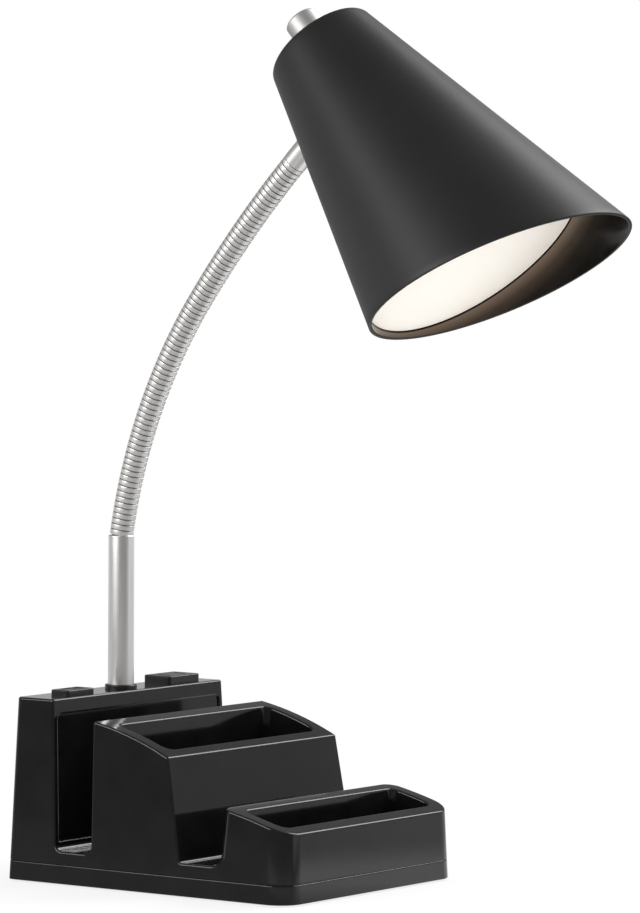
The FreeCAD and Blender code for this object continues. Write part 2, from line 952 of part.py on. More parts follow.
def inlet_bushing():
    seat = inlet_seat()
    back = Vector(0, 1, 0)
    flange = rod(seat, back, inlet_flange_radius, inlet_flange_thickness)
    outer_edge = [e for e in flange.Edges if e.BoundBox.YMin > seat.y + slip_gap]
    flange = flange.makeFillet(inlet_flange_thickness / 2, outer_edge)
    sleeve = rod(seat, back * -1, inlet_sleeve_radius, inlet_sleeve_length - overrun)
    start = seat - back * inlet_sleeve_length
    bore = rod(start, back, inlet_bore_radius, inlet_sleeve_length + 2 * inlet_flange_thickness)
    return flange.fuse(sleeve).removeSplitter().cut(bore)


# Post


def post_bushing():
    """Black ring that seats the post on the ridge."""
    foot = Vector(0, ridge_centre_y, ridge_height)
    up = Vector(0, 0, 1)
    ring = rod(foot, up, bushing_radius, bushing_height)
    ring = ring.makeFillet(bezel_edge_radius, top_face(ring).Edges)
    ring = ring.cut(rod(foot + up * bushing_ledge, up, post_radius + slip_gap, bushing_height))
    return ring.cut(rod(foot, up, nipple_radius + slip_gap, bushing_height))


def post_tube():
    """Nickel-plated tube with a threaded collar brazed in at each end."""
    up = Vector(0, 0, 1)
    foot = Vector(0, ridge_centre_y, post_bottom)
    length = post_top_height - post_bottom
    post = tube(foot, up, post_radius, post_radius - post_wall, length)
    collar_radius = post_radius - post_wall / 2
    lower = tube(foot, up, collar_radius, nipple_radius + slip_gap, post_collar_length)
    upper_foot = foot + up * (length - post_collar_length)
    upper = tube(upper_foot, up, collar_radius, stub_radius + slip_gap, post_collar_length)
    return post.fuse(lower).fuse(upper).removeSplitter()


def post_nipple():
    up = Vector(0, 0, 1)
    low = ridge_height - wall - post_boss_height - nipple_below
    foot = Vector(0, ridge_centre_y, low)
    length = post_bottom + post_collar_length - slip_gap - low
    return tube(foot, up, nipple_radius, nipple_bore_radius, length)


def post_washer():
    top = ridge_height - wall - post_boss_height
    foot = Vector(0, ridge_centre_y, top - post_washer_thickness)
    bore = nipple_radius + slip_gap
    return tube(foot, Vector(0, 0, 1), post_washer_radius, bore, post_washer_thickness)


def post_nut():
    top = ridge_height - wall - post_boss_height - post_washer_thickness
    foot = Vector(0, ridge_centre_y, top - post_nut_height)
    return hexagon(foot, Vector(0, 0, 1), post_nut_across, post_nut_height, nipple_radius + slip_gap)


# Gooseneck


def neck_angle(s):
    """Angle from upright, towards the front, at a distance along the neck's axis."""
    if s <= neck_lower_length:
        share = s / neck_lower_length
        return math.radians(neck_start_deg + share * (neck_middle_deg - neck_start_deg))
    share = (s - neck_lower_length) / neck_upper_length
    return math.radians(neck_middle_deg + share * (neck_end_deg - neck_middle_deg))


def neck_direction(s):
    angle = neck_angle(s)
    return Vector(0, -math.sin(angle), math.cos(angle))


def arc_step(start, s_from, s_to):
    """Point reached after following one arc of the neck's axis."""
    turn = neck_angle(s_to) - neck_angle(s_from)
    radius = (s_to - s_from) / turn
    a = neck_angle(s_from)
    b = neck_angle(s_to)
    return start + Vector(0, radius * (math.cos(b) - math.cos(a)), radius * (math.sin(b) - math.sin(a)))


def neck_point(s):
    """Point on the neck's axis, which is a tighter arc followed by a wider one."""
    start = Vector(0, ridge_centre_y, post_top_height)
    if s == 0:
        return start
    if s <= neck_lower_length:
        return arc_step(start, 0, s)
    middle = arc_step(start, 0, neck_lower_length)
    return arc_step(middle, neck_lower_length, s)


def neck_circle(s, radius):
    """Circle round the neck's axis, with its seam always on the +X side."""
    circle = Part.Circle(neck_point(s), neck_direction(s), radius)
    circle.XAxis = Vector(1, 0, 0)
    return Part.Wire(circle.toShape())


def ribbed_hose(s_from, s_to, ribs):
    """Ribbed outside of a stretch of neck: each rib is a ruled loft through four circles."""
    pitch = (s_to - s_from) / ribs
    circles = []
    for rib in range(ribs):
        for place, height in zip(rib_place_shares, rib_height_shares):
            radius = rib_groove_radius + height * rib_depth
            circles.append(neck_circle(s_from + (rib + place) * pitch, radius))
    circles.append(neck_circle(s_to, rib_groove_radius))
    return Part.makeLoft(circles, True, True)


def joint_place(number):
    """Distance along the neck of the joint between link number and the next one."""
    return number * link_length


def bore_between(start, end, radius):
    along = end - start
    return Part.makeCylinder(radius, along.Length, start, along)


def fixed_foot(link):
    """Give the first link its threaded stub, which sits in the post's collar."""
    up = Vector(0, 0, 1)
    point = neck_point(0)
    low = point - up * stub_length
    link = link.fuse(rod(low, up, stub_radius, stub_length + 2 * neck_start_clearance))
    return link.cut(bore_between(low - up * overrun, point + up * overrun, stub_bore_radius))


def fixed_head(link):
    """Give the last link its threaded stub, which sits in the ferrule."""
    along = neck_direction(neck_length)
    root = neck_point(neck_length) - along * overrun
    link = link.fuse(rod(root, along, stub_radius, stub_length + overrun))
    return link.cut(rod(root, along, stub_bore_radius, stub_length + 2 * overrun))


def neck_link(number):
    """One rigid link. Its foot is a socket on the ball of the link below, its head is a ball."""
    is_first = number == 1
    is_last = number == link_count
    foot = joint_place(number - 1)
    head = joint_place(number)
    foot_point = neck_point(foot)
    head_point = neck_point(head)
    s_from = neck_start_clearance if is_first else foot - cup_rim_drop
    s_to = head if is_last else head - ball_stand
    link = ribbed_hose(s_from, s_to, ribs_per_link)
    if is_first:
        link = fixed_foot(link)
    else:
        link = link.cut(Part.makeSphere(ball_radius + ball_gap, foot_point))
    if is_last:
        link = fixed_head(link)
        return link.cut(bore_between(foot_point, head_point, neck_bore_radius))
    link = link.fuse(Part.makeSphere(ball_radius, head_point))
    beyond = (head_point - foot_point).normalize() * (ball_radius + overrun)
    return link.cut(bore_between(foot_point, head_point + beyond, neck_bore_radius))


# Shade. It is drawn with its axis along Z from the small end, then placed on the neck.


def shade_radius(place):
    """Outer radius at a distance along the axis from the small end."""
    return shade_small_radius + place * flare


def head_placement():
    """Placement that puts the shade's neck seat on the end of the ferrule."""
    turn = Rotation(Vector(1, 0, 0), 90 + shade_tilt_deg)
    seat = Vector(0, -shade_radius(neck_seat_place), neck_seat_place)
    ferrule_tip = neck_point(neck_length) + neck_direction(neck_length) * ferrule_length
    return Placement(ferrule_tip - turn.multVec(seat), turn)


def on_head(shape):
    """Copy of a shape drawn along the shade's axis, placed on the neck."""
    placed = shape.copy()
    placed.Placement = head_placement().multiply(placed.Placement)
    return placed


def cone_reach():
    """Length of the uncut cone, past the longest side of the mouth."""
    return shade_length + shade_radius(shade_length) * slope(mouth_cut_deg) * 2


def outer_cone(grown=0.0):
    """Solid of the shade's outside, before the mouth is cut."""
    reach = cone_reach()
    cone = Part.makeCone(shade_small_radius + grown, shade_radius(reach) + grown, reach)
    rim = min(cone.Edges, key=lambda e: e.BoundBox.ZMax + (e.BoundBox.ZLength > 0) * reach)
    return cone.makeFillet(shoulder_radius, [rim])


def inner_radius(place):
    """Inner radius of the shade's wall at a distance along the axis."""
    return shade_radius(place) - shade_wall / math.cos(math.radians(shade_flare_deg))


def inner_space():
    """Space inside the shade, with a ledge that stops the light unit."""
    reach = cone_reach() + overrun
    ledge_start = ledge_place - ledge_length
    return revolved(
        [
            (0, shade_wall),
            (inner_radius(shade_wall), shade_wall),
            (inner_radius(ledge_start), ledge_start),
            (inner_radius(ledge_start) - ledge_height, ledge_start),
            (inner_radius(ledge_place) - ledge_height, ledge_place),
            (inner_radius(ledge_place), ledge_place),
            (inner_radius(reach), reach),
            (0, reach),
        ]
    )


def mouth_cutter():
    """Everything beyond the slanting plane of the mouth."""
    size = 2 * cone_reach()
    block = Part.makeBox(2 * size, 2 * size, size, Vector(-size, -size, 0))
    block.Placement = Placement(Vector(0, 0, shade_length), Rotation(Vector(1, 0, 0), mouth_cut_deg))
    return block


def seat_axis():
    """Neck seat and neck direction as seen along the shade's own axes."""
    back = head_placement().inverse()
    tip = back.multVec(neck_point(neck_length) + neck_direction(neck_length) * ferrule_length)
    direction = back.Rotation.multVec(neck_direction(neck_length))
    return tip, direction


def shade():
    shell = outer_cone().cut(inner_space())
    tip, direction = seat_axis()
    boss_start = tip - direction * seat_boss_radius
    boss = rod(boss_start, direction, seat_boss_radius, seat_boss_radius + seat_boss_depth)
    shell = shell.fuse(boss.common(outer_cone(-shade_wall / 2))).removeSplitter()
    shell = shell.cut(rod(boss_start, direction, shade_nipple_radius + slip_gap, 3 * seat_boss_radius))
    cap_start = Vector(0, 0, -overrun)
    cap_length = 2 * shade_wall + overrun
    cap_bore = rod(cap_start, Vector(0, 0, 1), switch_neck_radius + slip_gap, cap_length)
    shell = shell.cut(cap_bore).cut(mouth_cutter())
    mouth = max(shell.Faces, key=lambda face: face.CenterOfMass.z)
    shell = shell.makeFillet(mouth_edge_radius, mouth.Edges)
    return on_head(shell)


def top_ferrule():
    """Plain sleeve between the ribbed neck and the shade, its end cut to the shade's wall."""
    start = neck_point(neck_length)
    direction = neck_direction(neck_length)
    sleeve = rod(start, direction, ferrule_radius, ferrule_length + ferrule_radius)
    rims = [e for e in sleeve.Edges if (e.CenterOfMass - start).Length < slip_gap]
    sleeve = sleeve.makeFillet(rib_depth / 2, rims)
    sleeve = sleeve.cut(on_head(outer_cone(slip_gap)))
    bore_start = start - direction * overrun
    sleeve = sleeve.cut(rod(bore_start, direction, stub_radius + slip_gap, 2 * ferrule_length))
    return max(sleeve.Solids, key=lambda solid: solid.Volume)


def seat_point(distance):
    """World point on the neck's end axis, a distance inside the shade's wall."""
    direction = neck_direction(neck_length)
    return neck_point(neck_length) + direction * (ferrule_length + distance)


def shade_nipple():
    direction = neck_direction(neck_length)
    start = neck_point(neck_length) + direction * (stub_length + slip_gap)
    end = seat_point(seat_boss_depth + shade_nipple_end)
    return tube(start, direction, shade_nipple_radius, stub_bore_radius, (end - start).Length)


def shade_washer():
    foot = seat_point(seat_boss_depth)
    direction = neck_direction(neck_length)
    bore = shade_nipple_radius + slip_gap
    return tube(foot, direction, shade_washer_radius, bore, shade_washer_thickness)


def shade_nut():
    foot = seat_point(seat_boss_depth + shade_washer_thickness)
    direction = neck_direction(neck_length)
    return hexagon(foot, direction, shade_nut_across, shade_nut_height, shade_nipple_radius + slip_gap)


# Light unit


def led_carrier():
    """Spun aluminium dish that rests on the shade's ledge, with its rim turned towards the small end."""
    low = ledge_place
    top = low + carrier_thickness
    rim_start = low - carrier_rim_height
    rim_radius_outer = inner_radius(ledge_place - ledge_length) - ledge_height - diffuser_gap
    rim_radius_inner = rim_radius_outer - carrier_thickness
    return on_head(
        revolved(
            [
                (0, low),
                (rim_radius_inner, low),
                (rim_radius_inner, rim_start),
                (rim_radius_outer, rim_start),
                (rim_radius_outer, low),
                (inner_radius(low) - diffuser_gap, low),
                (inner_radius(low) - diffuser_gap, top),
                (0, top),
            ]
        )
    )


def led_board():
    place = ledge_place + carrier_thickness
    return on_head(rod(Vector(0, 0, place), Vector(0, 0, 1), led_board_radius, led_board_thickness))


def led_chips():
    place = ledge_place + carrier_thickness + led_board_thickness
    chips = []
    for i in range(led_ring_count):
        angle = 2 * math.pi * i / led_ring_count
        centre = Vector(led_ring_radius * math.cos(angle), led_ring_radius * math.sin(angle), place)
        chips.append(on_head(box_at(centre, led_size, led_size, led_height)))
    return chips


def diffuser():
    """Milky cap whose skirt presses the carrier against the ledge."""
    top = diffuser_place
    under = top - diffuser_thickness
    start = ledge_place + carrier_thickness
    skirt_wall = diffuser_thickness
    return on_head(
        revolved(
            [
                (0, under),
                (inner_radius(under) - diffuser_gap - skirt_wall, under),
                (inner_radius(start) - diffuser_gap - skirt_wall, start),
                (inner_radius(start) - diffuser_gap, start),
                (inner_radius(top) - diffuser_gap, top),
                (0, top),
            ]
        )
    )


def driver_case():
    """Closed case of the lamp's driver, fixed behind the carrier."""
    foot = Vector(0, 0, ledge_place - driver_height)
    return on_head(rounded_slab(foot, driver_width, driver_depth, driver_height, driver_corner_radius))


# Rotary switch


def rotary_switch():
    """Switch body under the shade's cap, with a threaded neck through the cap."""
    axis = Vector(0, 0, 1)
    body = rod(Vector(0, 0, shade_wall), axis, switch_radius, switch_height)
    neck_foot = Vector(0, 0, -switch_neck_length)
    neck = rod(neck_foot, axis, switch_neck_radius, switch_neck_length + shade_wall)
    bore = rod(
        Vector(0, 0, -switch_neck_length - overrun),
        axis,
        switch_shaft_radius + slip_gap,
        switch_neck_length + overrun + switch_shaft_root + fit_gap,
    )
    return on_head(body.fuse(neck).removeSplitter().cut(bore))


def switch_nut():
    foot = Vector(0, 0, -switch_nut_height)
    bore = switch_neck_radius + slip_gap
    return on_head(hexagon(foot, Vector(0, 0, 1), switch_nut_across, switch_nut_height, bore))


def switch_shaft():
    start = Vector(0, 0, -switch_shaft_length)
    length = switch_shaft_length + switch_shaft_root
    return on_head(rod(start, Vector(0, 0, 1), switch_shaft_radius, length))


def knob():
    """Plain turned knob with a recess that clears the switch's nut."""
    axis = Vector(0, 0, 1)
    low = -knob_lift - knob_height
    body = rod(Vector(0, 0, low), axis, knob_radius, knob_height)
    outer = min(body.Edges, key=lambda e: e.BoundBox.ZMax)
    body = body.makeFillet(knob_edge_radius, [outer])
    recess_foot = Vector(0, 0, -knob_lift - knob_recess_depth)
    recess = rod(recess_foot, axis, knob_recess_radius, 2 * knob_recess_depth)
    bore_foot = Vector(0, 0, -switch_shaft_length - fit_gap)
    bore = rod(bore_foot, axis, switch_shaft_radius + slip_gap, switch_shaft_length)
    return on_head(body.cut(recess).cut(bore))


# Writing the files


def gathered(shape):
    """One shape for a node. A list becomes one compound of separate solids."""
    if isinstance(shape, list):
        return Part.makeCompound([solid for item in shape for solid in item.Solids])
    return shape.Solids[0] if len(shape.Solids) == 1 else shape


def turned_on_post(shape):
    """The neck and all it carries are drawn in the plane X = 0 and then turned about the post."""
    turned = gathered(shape).copy()
    turned.rotate(Vector(0, ridge_centre_y, 0), Vector(0, 0, 1), neck_turn_deg)
    return turned


def write(name, shape):
    shape.exportStep("parts/" + name + ".step")


def main():
    os.makedirs("parts", exist_ok=True)
    for maker in (
        base_housing,
        bottom_cover,
        non_slip_pad,
        ballast_plate,
        cover_screws,
        usb_bezel,
        usb_socket_shell,
        usb_tongue,
        charging_board,
        board_parts,
        board_screws,
        outlet_insert,
        outlet_contacts,
        inlet_bushing,
        post_bushing,
        post_tube,
        post_nipple,
        post_washer,
        post_nut,
    ):
        write(maker.__name__, gathered(maker()))
    for number in range(1, link_count + 1):
        write(f"neck_link_{number}", turned_on_post(neck_link(number)))
    for maker in (
        top_ferrule,
        shade_nipple,
        shade_washer,
        shade_nut,
        shade,
        led_carrier,
        led_board,
        led_chips,
        diffuser,
        driver_case,
        rotary_switch,
        switch_nut,
        switch_shaft,
        knob,
    ):
        write(maker.__name__, turned_on_post(maker()))


main()
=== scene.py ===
import json
import math

import bmesh
import bpy
from mathutils import Matrix, Vector


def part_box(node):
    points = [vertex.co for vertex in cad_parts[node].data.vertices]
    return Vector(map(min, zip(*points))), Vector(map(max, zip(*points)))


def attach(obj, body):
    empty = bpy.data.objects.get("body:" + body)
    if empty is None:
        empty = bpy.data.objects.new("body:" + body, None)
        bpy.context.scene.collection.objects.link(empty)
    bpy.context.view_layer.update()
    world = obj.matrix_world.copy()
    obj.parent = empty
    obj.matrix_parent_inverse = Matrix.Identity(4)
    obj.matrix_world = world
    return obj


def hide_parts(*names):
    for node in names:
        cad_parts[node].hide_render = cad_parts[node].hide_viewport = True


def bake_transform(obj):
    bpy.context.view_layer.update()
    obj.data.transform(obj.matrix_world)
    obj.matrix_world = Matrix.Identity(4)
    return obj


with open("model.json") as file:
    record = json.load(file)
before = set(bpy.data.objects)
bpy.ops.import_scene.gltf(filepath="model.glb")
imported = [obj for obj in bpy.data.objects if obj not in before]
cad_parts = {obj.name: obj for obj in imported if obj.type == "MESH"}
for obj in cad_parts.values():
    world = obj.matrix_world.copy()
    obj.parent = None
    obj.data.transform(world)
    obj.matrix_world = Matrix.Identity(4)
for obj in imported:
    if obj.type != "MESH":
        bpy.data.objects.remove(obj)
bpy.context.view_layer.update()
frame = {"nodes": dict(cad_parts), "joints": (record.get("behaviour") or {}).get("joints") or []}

# A desk lamp on a gloss black organiser base, dressed for rendering. Lengths are metres in the
# frame of the CAD model: X to the right, Y to the back, Z up, and the lamp faces -Y.

# Camera, as read from the picture's perspective. The anchor is a point under the middle of the base,
# and the pixel where it lands
picture_width = 640.0
picture_height = 913.0
focal_pixels = 5537.4
view_yaw = math.radians(35.72)
view_pitch = math.radians(2.98)
view_roll = math.radians(0.35)
view_distance = 2.6688
anchor_height = 0.0008
anchor_pixel_x = 232.94
anchor_pixel_y = 877.82
sensor_width = 36.0
clip_start = 0.1
clip_end = 30.0

# Meshes: points closer than the weld distance are joined, and corners over the limit stay sharp
weld_distance = 1e-7
smooth_limit_deg = 35.0
hose_smooth_limit_deg = 28.0
shade_smooth_limit_deg = 50.0
turn_steps = 96

# CAD meshes
cad_weld_distance = 1e-6
cad_smooth_limit_deg = 32.0
large_face_weight = 80

# Moulded edges, rounded in the shading only
soft_edge_radius = 0.0008
soft_edge_samples = 8

# Post
post_radius = 0.00635
post_edge = 0.0005
post_edge_steps = 6
post_bore = 0.0052

# Neck: an arc that leans from the start to the middle angle, then one that goes on to the end angle.
# The profile gives places along one rib and the share of the groove's depth there
neck_start_deg = 9.5
neck_middle_deg = 36.6
neck_end_deg = 45.8
neck_lower_length = 0.1252
neck_upper_length = 0.09
link_count = 8
rib_count = 78
rib_crest_radius = 0.0058
rib_depth = 0.00045
rib_profile_shares = (
    (0.0, 1.0),
    (0.06, 1.0),
    (0.065, 0.34),
    (0.09, 0.15),
    (0.13, 0.06),
    (0.25, 0.015),
    (0.5, 0.0),
    (0.75, 0.015),
    (0.87, 0.06),
    (0.91, 0.15),
    (0.935, 0.34),
    (0.94, 1.0),
)
neck_turn_steps = 48
bend_half_length = 0.0055
neck_foot_gap = 0.0003

# Shade. The paint reaches over the first steps of the rim's inner half
shade_small_radius = 0.0269
shade_flare = math.tan(math.radians(13.6))
shade_length = 0.1507
mouth_slope = math.tan(math.radians(16.0))
shade_wall = 0.0018
shoulder_radius = 0.003
shoulder_steps = 8
shade_rim_radius = 0.0006
rim_steps = 4
painted_rim_steps = 2
cap_hole_radius = 0.00455
cap_rings = 4
shade_turn_steps = 192
shade_rows = 40

# Diffuser. Its skirt stands on the ledge of the light unit, and its face leans towards the mouth at
# the front. The glow is a sum of shares: even, towards the middle, and taken off towards the front
ledge_place = 0.118
diffuser_place = 0.1325
diffuser_lean = 0.0019
diffuser_thickness = 0.002
diffuser_gap = 0.0003
diffuser_edge = 0.0005
diffuser_edge_steps = 5
diffuser_rings = 24
diffuser_turn_steps = 160
even_glow_share = 0.25
middle_glow_share = 0.5
front_glow_share = 0.3
glow_strength = 0.37

# Painted light on the lining beside the diffuser: a warm glow that stands in for the diffuser's light
# falling on it. Places are shares of its reach, and levels are given there
painted_glow_reach = 0.018
painted_glow_colour = (0.15, 0.108, 0.078)
painted_glow_levels = ((0.02, 0.0), (0.045, 1.0), (0.15, 0.72), (0.32, 0.3), (0.6, 0.07))

# Knob. Its joint lies outside the shade's small end by the offset
knob_joint_offset = 0.005
knob_radius = 0.0085
knob_height = 0.0167
knob_lift = 0.0005
knob_edge = 0.0014
knob_edge_steps = 8
knob_face_rings = 12
knob_line_depth = 0.00004
knob_foot_edge = 0.0003
knob_recess_radius = 0.007
knob_recess_depth = 0.003
knob_shaft_hole_radius = 0.003

# Nickel: levels of red, green and blue as shares of its level, and of the lines as a share of those
nickel_shares = (1.0, 0.99, 0.97)
nickel_line_share = 0.91

# Inner finishes: how far the roughness strays each way, and the coarse cloud's scale by the grain's
rubber_stray = 0.06
metal_stray = 0.08
plastic_stray = 0.05
cloud_share = 0.125

# Floor as the camera sees it: mostly white, and fully white from some way off
floor_radius = 0.6
floor_drop = 0.00002
floor_white_share = 0.8
floor_white_reach = (0.12, 0.42)

# Floor as shiny surfaces mirror it: by X near the lamp, and farther out by the direction from it.
# Fades are spans of X or of the direction's cosine, and levels are the ends between them
floor_near = (0.22, 0.34)
floor_near_fade = (-0.09, 0.05)
floor_near_levels = (0.3, 1.0)
floor_side_fade = (-0.34, 0.32)
floor_side_levels = (0.27, 0.62)
floor_front_fade = (-0.85, -0.5)
floor_front_level = 0.65

# Studio. Its fill lights dull surfaces evenly. Shiny ones mirror a backdrop behind the lamp, a card
# beside it, and dim walls
fill_strength = 0.7
studio_colour = (0.8, 0.8, 0.8)
front_wall = 0.2
upper_wall = 0.28
lower_wall = 0.5
lower_back = 0.08
lower_fade = (0.3, 0.7)
backdrop_fade = (-0.34, 0.88)
backdrop_height = (0.0, 0.3)
backdrop_depth = (-0.2, -0.09)
card_azimuth = math.radians(-66.0)
card_edge = (0.92, 0.98)

# Soft boxes: name, azimuth and elevation in degrees, distance, width, height, watts
lamp_target = Vector((0.0, 0.0, 0.25))
soft_boxes = (
    ("left_box", 158.0, 17.0, 1.7, 1.3, 0.7, 14.5),
    ("right_box", -28.0, 36.0, 1.8, 1.6, 1.2, 31.0),
)


# Mesh helpers


def new_piece(name, bm, finishes_used, limit_deg=smooth_limit_deg):
    """Finish a bmesh as an object with smooth shading that stays sharp at real corners."""
    bmesh.ops.recalc_face_normals(bm, faces=bm.faces)
    limit = math.radians(limit_deg)
    for face in bm.faces:
        face.smooth = True
    for edge in bm.edges:
        edge.smooth = len(edge.link_faces) != 2 or edge.calc_face_angle(0.0) < limit
    mesh = bpy.data.meshes.new(name)
    bm.to_mesh(mesh)
    bm.free()
    for finish in finishes_used:
        mesh.materials.append(finish)
    obj = bpy.data.objects.new(name, mesh)
    bpy.context.scene.collection.objects.link(obj)
    return obj


def ring_of(bm, centre, side, across, radius, steps):
    """Closed ring of points about a centre, in the plane of two directions."""
    ring = []
    for i in range(steps):
        turn = 2 * math.pi * i / steps
        out = side * math.cos(turn) + across * math.sin(turn)
        ring.append(bm.verts.new(centre + out * radius))
    return ring


def bridge(bm, ring_a, ring_b):
    """Quads between two closed rings of the same count."""
    count = len(ring_a)
    for i in range(count):
        j = (i + 1) % count
        bm.faces.new((ring_a[i], ring_a[j], ring_b[j], ring_b[i]))


def lathe(name, profile, origin, axis, side, finish, steps=turn_steps):
    """Body turned about an axis, from (radius, place) points. A radius of zero closes it."""
    across = axis.cross(side).normalized()
    bm = bmesh.new()
    rings = []
    for radius, place in profile:
        rings.append(ring_of(bm, origin + axis * place, side, across, radius, steps))
    for k in range(len(rings) - 1):
        bridge(bm, rings[k], rings[k + 1])
    bmesh.ops.remove_doubles(bm, verts=bm.verts, dist=weld_distance)
    return new_piece(name, bm, [finish])


def arc_points(centre, radius, start_deg, end_deg, steps):
    """Points of an arc in a (radius, place) profile."""
    points = []
    for i in range(steps + 1):
        turn = math.radians(start_deg + (end_deg - start_deg) * i / steps)
        points.append((centre[0] + radius * math.cos(turn), centre[1] + radius * math.sin(turn)))
    return points


# Node helpers


def feed(tree, socket, source):
    """Give a socket a plain number or another socket's value."""
    if isinstance(source, float):
        socket.default_value = source
    else:
        tree.links.new(source, socket)


def math_node(tree, operation, first, second):
    """Result of a two-sided operation on numbers."""
    made = tree.nodes.new("ShaderNodeMath")
    made.operation = operation
    feed(tree, made.inputs[0], first)
    feed(tree, made.inputs[1], second)
    return made.outputs["Value"]


def along(tree, vector, direction):
    """Length of a vector along a fixed direction."""
    made = tree.nodes.new("ShaderNodeVectorMath")
    made.operation = "DOT_PRODUCT"
    made.inputs[1].default_value = direction
    tree.links.new(vector, made.inputs[0])
    return made.outputs["Value"]


def coordinate(tree, vector, axis_name):
    """One coordinate of a vector."""
    made = tree.nodes.new("ShaderNodeSeparateXYZ")
    tree.links.new(vector, made.inputs["Vector"])
    return made.outputs[axis_name]


def ranged(tree, value, span, ends):
    """Clamped straight line from one end value to the other as a value crosses a span."""
    made = tree.nodes.new("ShaderNodeMapRange")
    made.inputs["From Min"].default_value = span[0]
    made.inputs["From Max"].default_value = span[1]
    made.inputs["To Min"].default_value = ends[0]
    made.inputs["To Max"].default_value = ends[1]
    tree.links.new(value, made.inputs["Value"])
    return made.outputs["Result"]


def blended(tree, share, first, second):
    """Number that runs from the first to the second as a share goes from 0 to 1."""
    made = tree.nodes.new("ShaderNodeMix")
    feed(tree, made.inputs["Factor"], share)
    feed(tree, made.inputs["A"], first)
    feed(tree, made.inputs["B"], second)
    return made.outputs["Result"]


def mixed_shaders(tree, share, first, second):
    """Shader that turns from the first into the second as a share goes from 0 to 1."""
    made = tree.nodes.new("ShaderNodeMixShader")
    tree.links.new(share, made.inputs["Fac"])
    tree.links.new(first, made.inputs[1])
    tree.links.new(second, made.inputs[2])
    return made.outputs["Shader"]


def noise(tree, scale, detail, stretch=(1.0, 1.0, 1.0)):
    """Noise in object space, stretched along the axes."""
    place = tree.nodes.new("ShaderNodeTexCoord")
    mapping = tree.nodes.new("ShaderNodeMapping")
    mapping.inputs["Scale"].default_value = stretch
    tree.links.new(place.outputs["Object"], mapping.inputs["Vector"])
    made = tree.nodes.new("ShaderNodeTexNoise")
    made.inputs["Scale"].default_value = scale
    made.inputs["Detail"].default_value = detail
    tree.links.new(mapping.outputs["Vector"], made.inputs["Vector"])
    return made.outputs["Fac"]


def colour_between(tree, value, dark, light, low, high):
    """Colour that runs from dark to light as a value goes from low to high."""
    made = tree.nodes.new("ShaderNodeValToRGB")
    made.color_ramp.elements[0].position = low
    made.color_ramp.elements[0].color = (*dark, 1.0)
    made.color_ramp.elements[1].position = high
    made.color_ramp.elements[1].color = (*light, 1.0)
    tree.links.new(value, made.inputs["Fac"])
    return made.outputs["Color"]


def tint(tree, shader, value, dark, light, low=0.3, high=0.7):
    """Base colour that runs from dark to light as a value goes from low to high."""
    tree.links.new(colour_between(tree, value, dark, light, low, high), shader.inputs["Base Color"])


def roughen(tree, shader, value, low, high):
    """Roughness that runs from low to high as a value goes from 0 to 1."""
    tree.links.new(ranged(tree, value, (0.0, 1.0), (low, high)), shader.inputs["Roughness"])


def bump(tree, shader, height, strength, distance):
    """Fine relief on a shader, from a height."""
    made = tree.nodes.new("ShaderNodeBump")
    made.inputs["Strength"].default_value = strength
    made.inputs["Distance"].default_value = distance
    tree.links.new(height, made.inputs["Height"])
    tree.links.new(made.outputs["Normal"], shader.inputs["Normal"])
    return made


# Materials


def material(name):
    """A new node material with its principled shader."""
    made = bpy.data.materials.new(name)
    made.use_nodes = True
    return made, made.node_tree, made.node_tree.nodes["Principled BSDF"]


def gloss_black():
    """Polished moulded plastic with a faint waviness and soft edges."""
    made, tree, shader = material("gloss_black")
    cloud = noise(tree, scale=60.0, detail=2.0)
    tint(tree, shader, cloud, dark=(0.0045, 0.0045, 0.005), light=(0.0075, 0.0073, 0.0078))
    haze = noise(tree, scale=180.0, detail=4.0)
    roughen(tree, shader, haze, low=0.07, high=0.13)
    shader.inputs["IOR"].default_value = 1.5
    wave = noise(tree, scale=45.0, detail=1.0)
    relief = bump(tree, shader, wave, strength=0.05, distance=0.0004)
    edges = tree.nodes.new("ShaderNodeBevel")
    edges.samples = soft_edge_samples
    edges.inputs["Radius"].default_value = soft_edge_radius
    tree.links.new(edges.outputs["Normal"], relief.inputs["Normal"])
    return made


def satin_black():
    """Soft paint with a very fine grain, on the outside of the shade."""
    made, tree, shader = material("satin_black")
    cloud = noise(tree, scale=35.0, detail=3.0)
    tint(tree, shader, cloud, dark=(0.009, 0.0088, 0.0087), light=(0.0115, 0.0112, 0.011))
    haze = noise(tree, scale=900.0, detail=2.0)
    roughen(tree, shader, haze, low=0.42, high=0.5)
    grain = noise(tree, scale=5200.0, detail=2.0)
    bump(tree, shader, grain, strength=0.12, distance=0.00006)
    return made


def inner_gloss():
    """Dark gloss lining of the shade, with painted warm light that falls off from the diffuser's edge."""
    made, tree, shader = material("inner_gloss")
    cloud = noise(tree, scale=50.0, detail=2.0)
    tint(tree, shader, cloud, dark=(0.006, 0.0052, 0.0045), light=(0.01, 0.0085, 0.007))
    haze = noise(tree, scale=240.0, detail=3.0)
    roughen(tree, shader, haze, low=0.12, high=0.2)
    shader.inputs["IOR"].default_value = 1.2
    wave = noise(tree, scale=60.0, detail=1.0)
    bump(tree, shader, wave, strength=0.06, distance=0.0004)
    # Painted light: an emission on the lining, strongest just past the diffuser and fading along the axis
    leaned = shade_axis - shade_front * (diffuser_lean / shade_radius(diffuser_place))
    start = (shade_origin + shade_axis * diffuser_place).dot(leaned)
    place = tree.nodes.new("ShaderNodeTexCoord").outputs["Object"]
    beyond = ranged(tree, along(tree, place, leaned), (start, start + painted_glow_reach), (0.0, 1.0))
    black = (0.0, 0.0, 0.0)
    light = colour_between(tree, beyond, dark=black, light=black, low=0.0, high=1.0)
    ramp = light.node.color_ramp
    for position, level in painted_glow_levels:
        ramp.elements.new(position).color = (*[value * level for value in painted_glow_colour], 1.0)
    tree.links.new(light, shader.inputs["Emission Color"])
    shader.inputs["Emission Strength"].default_value = 1.0
    return made


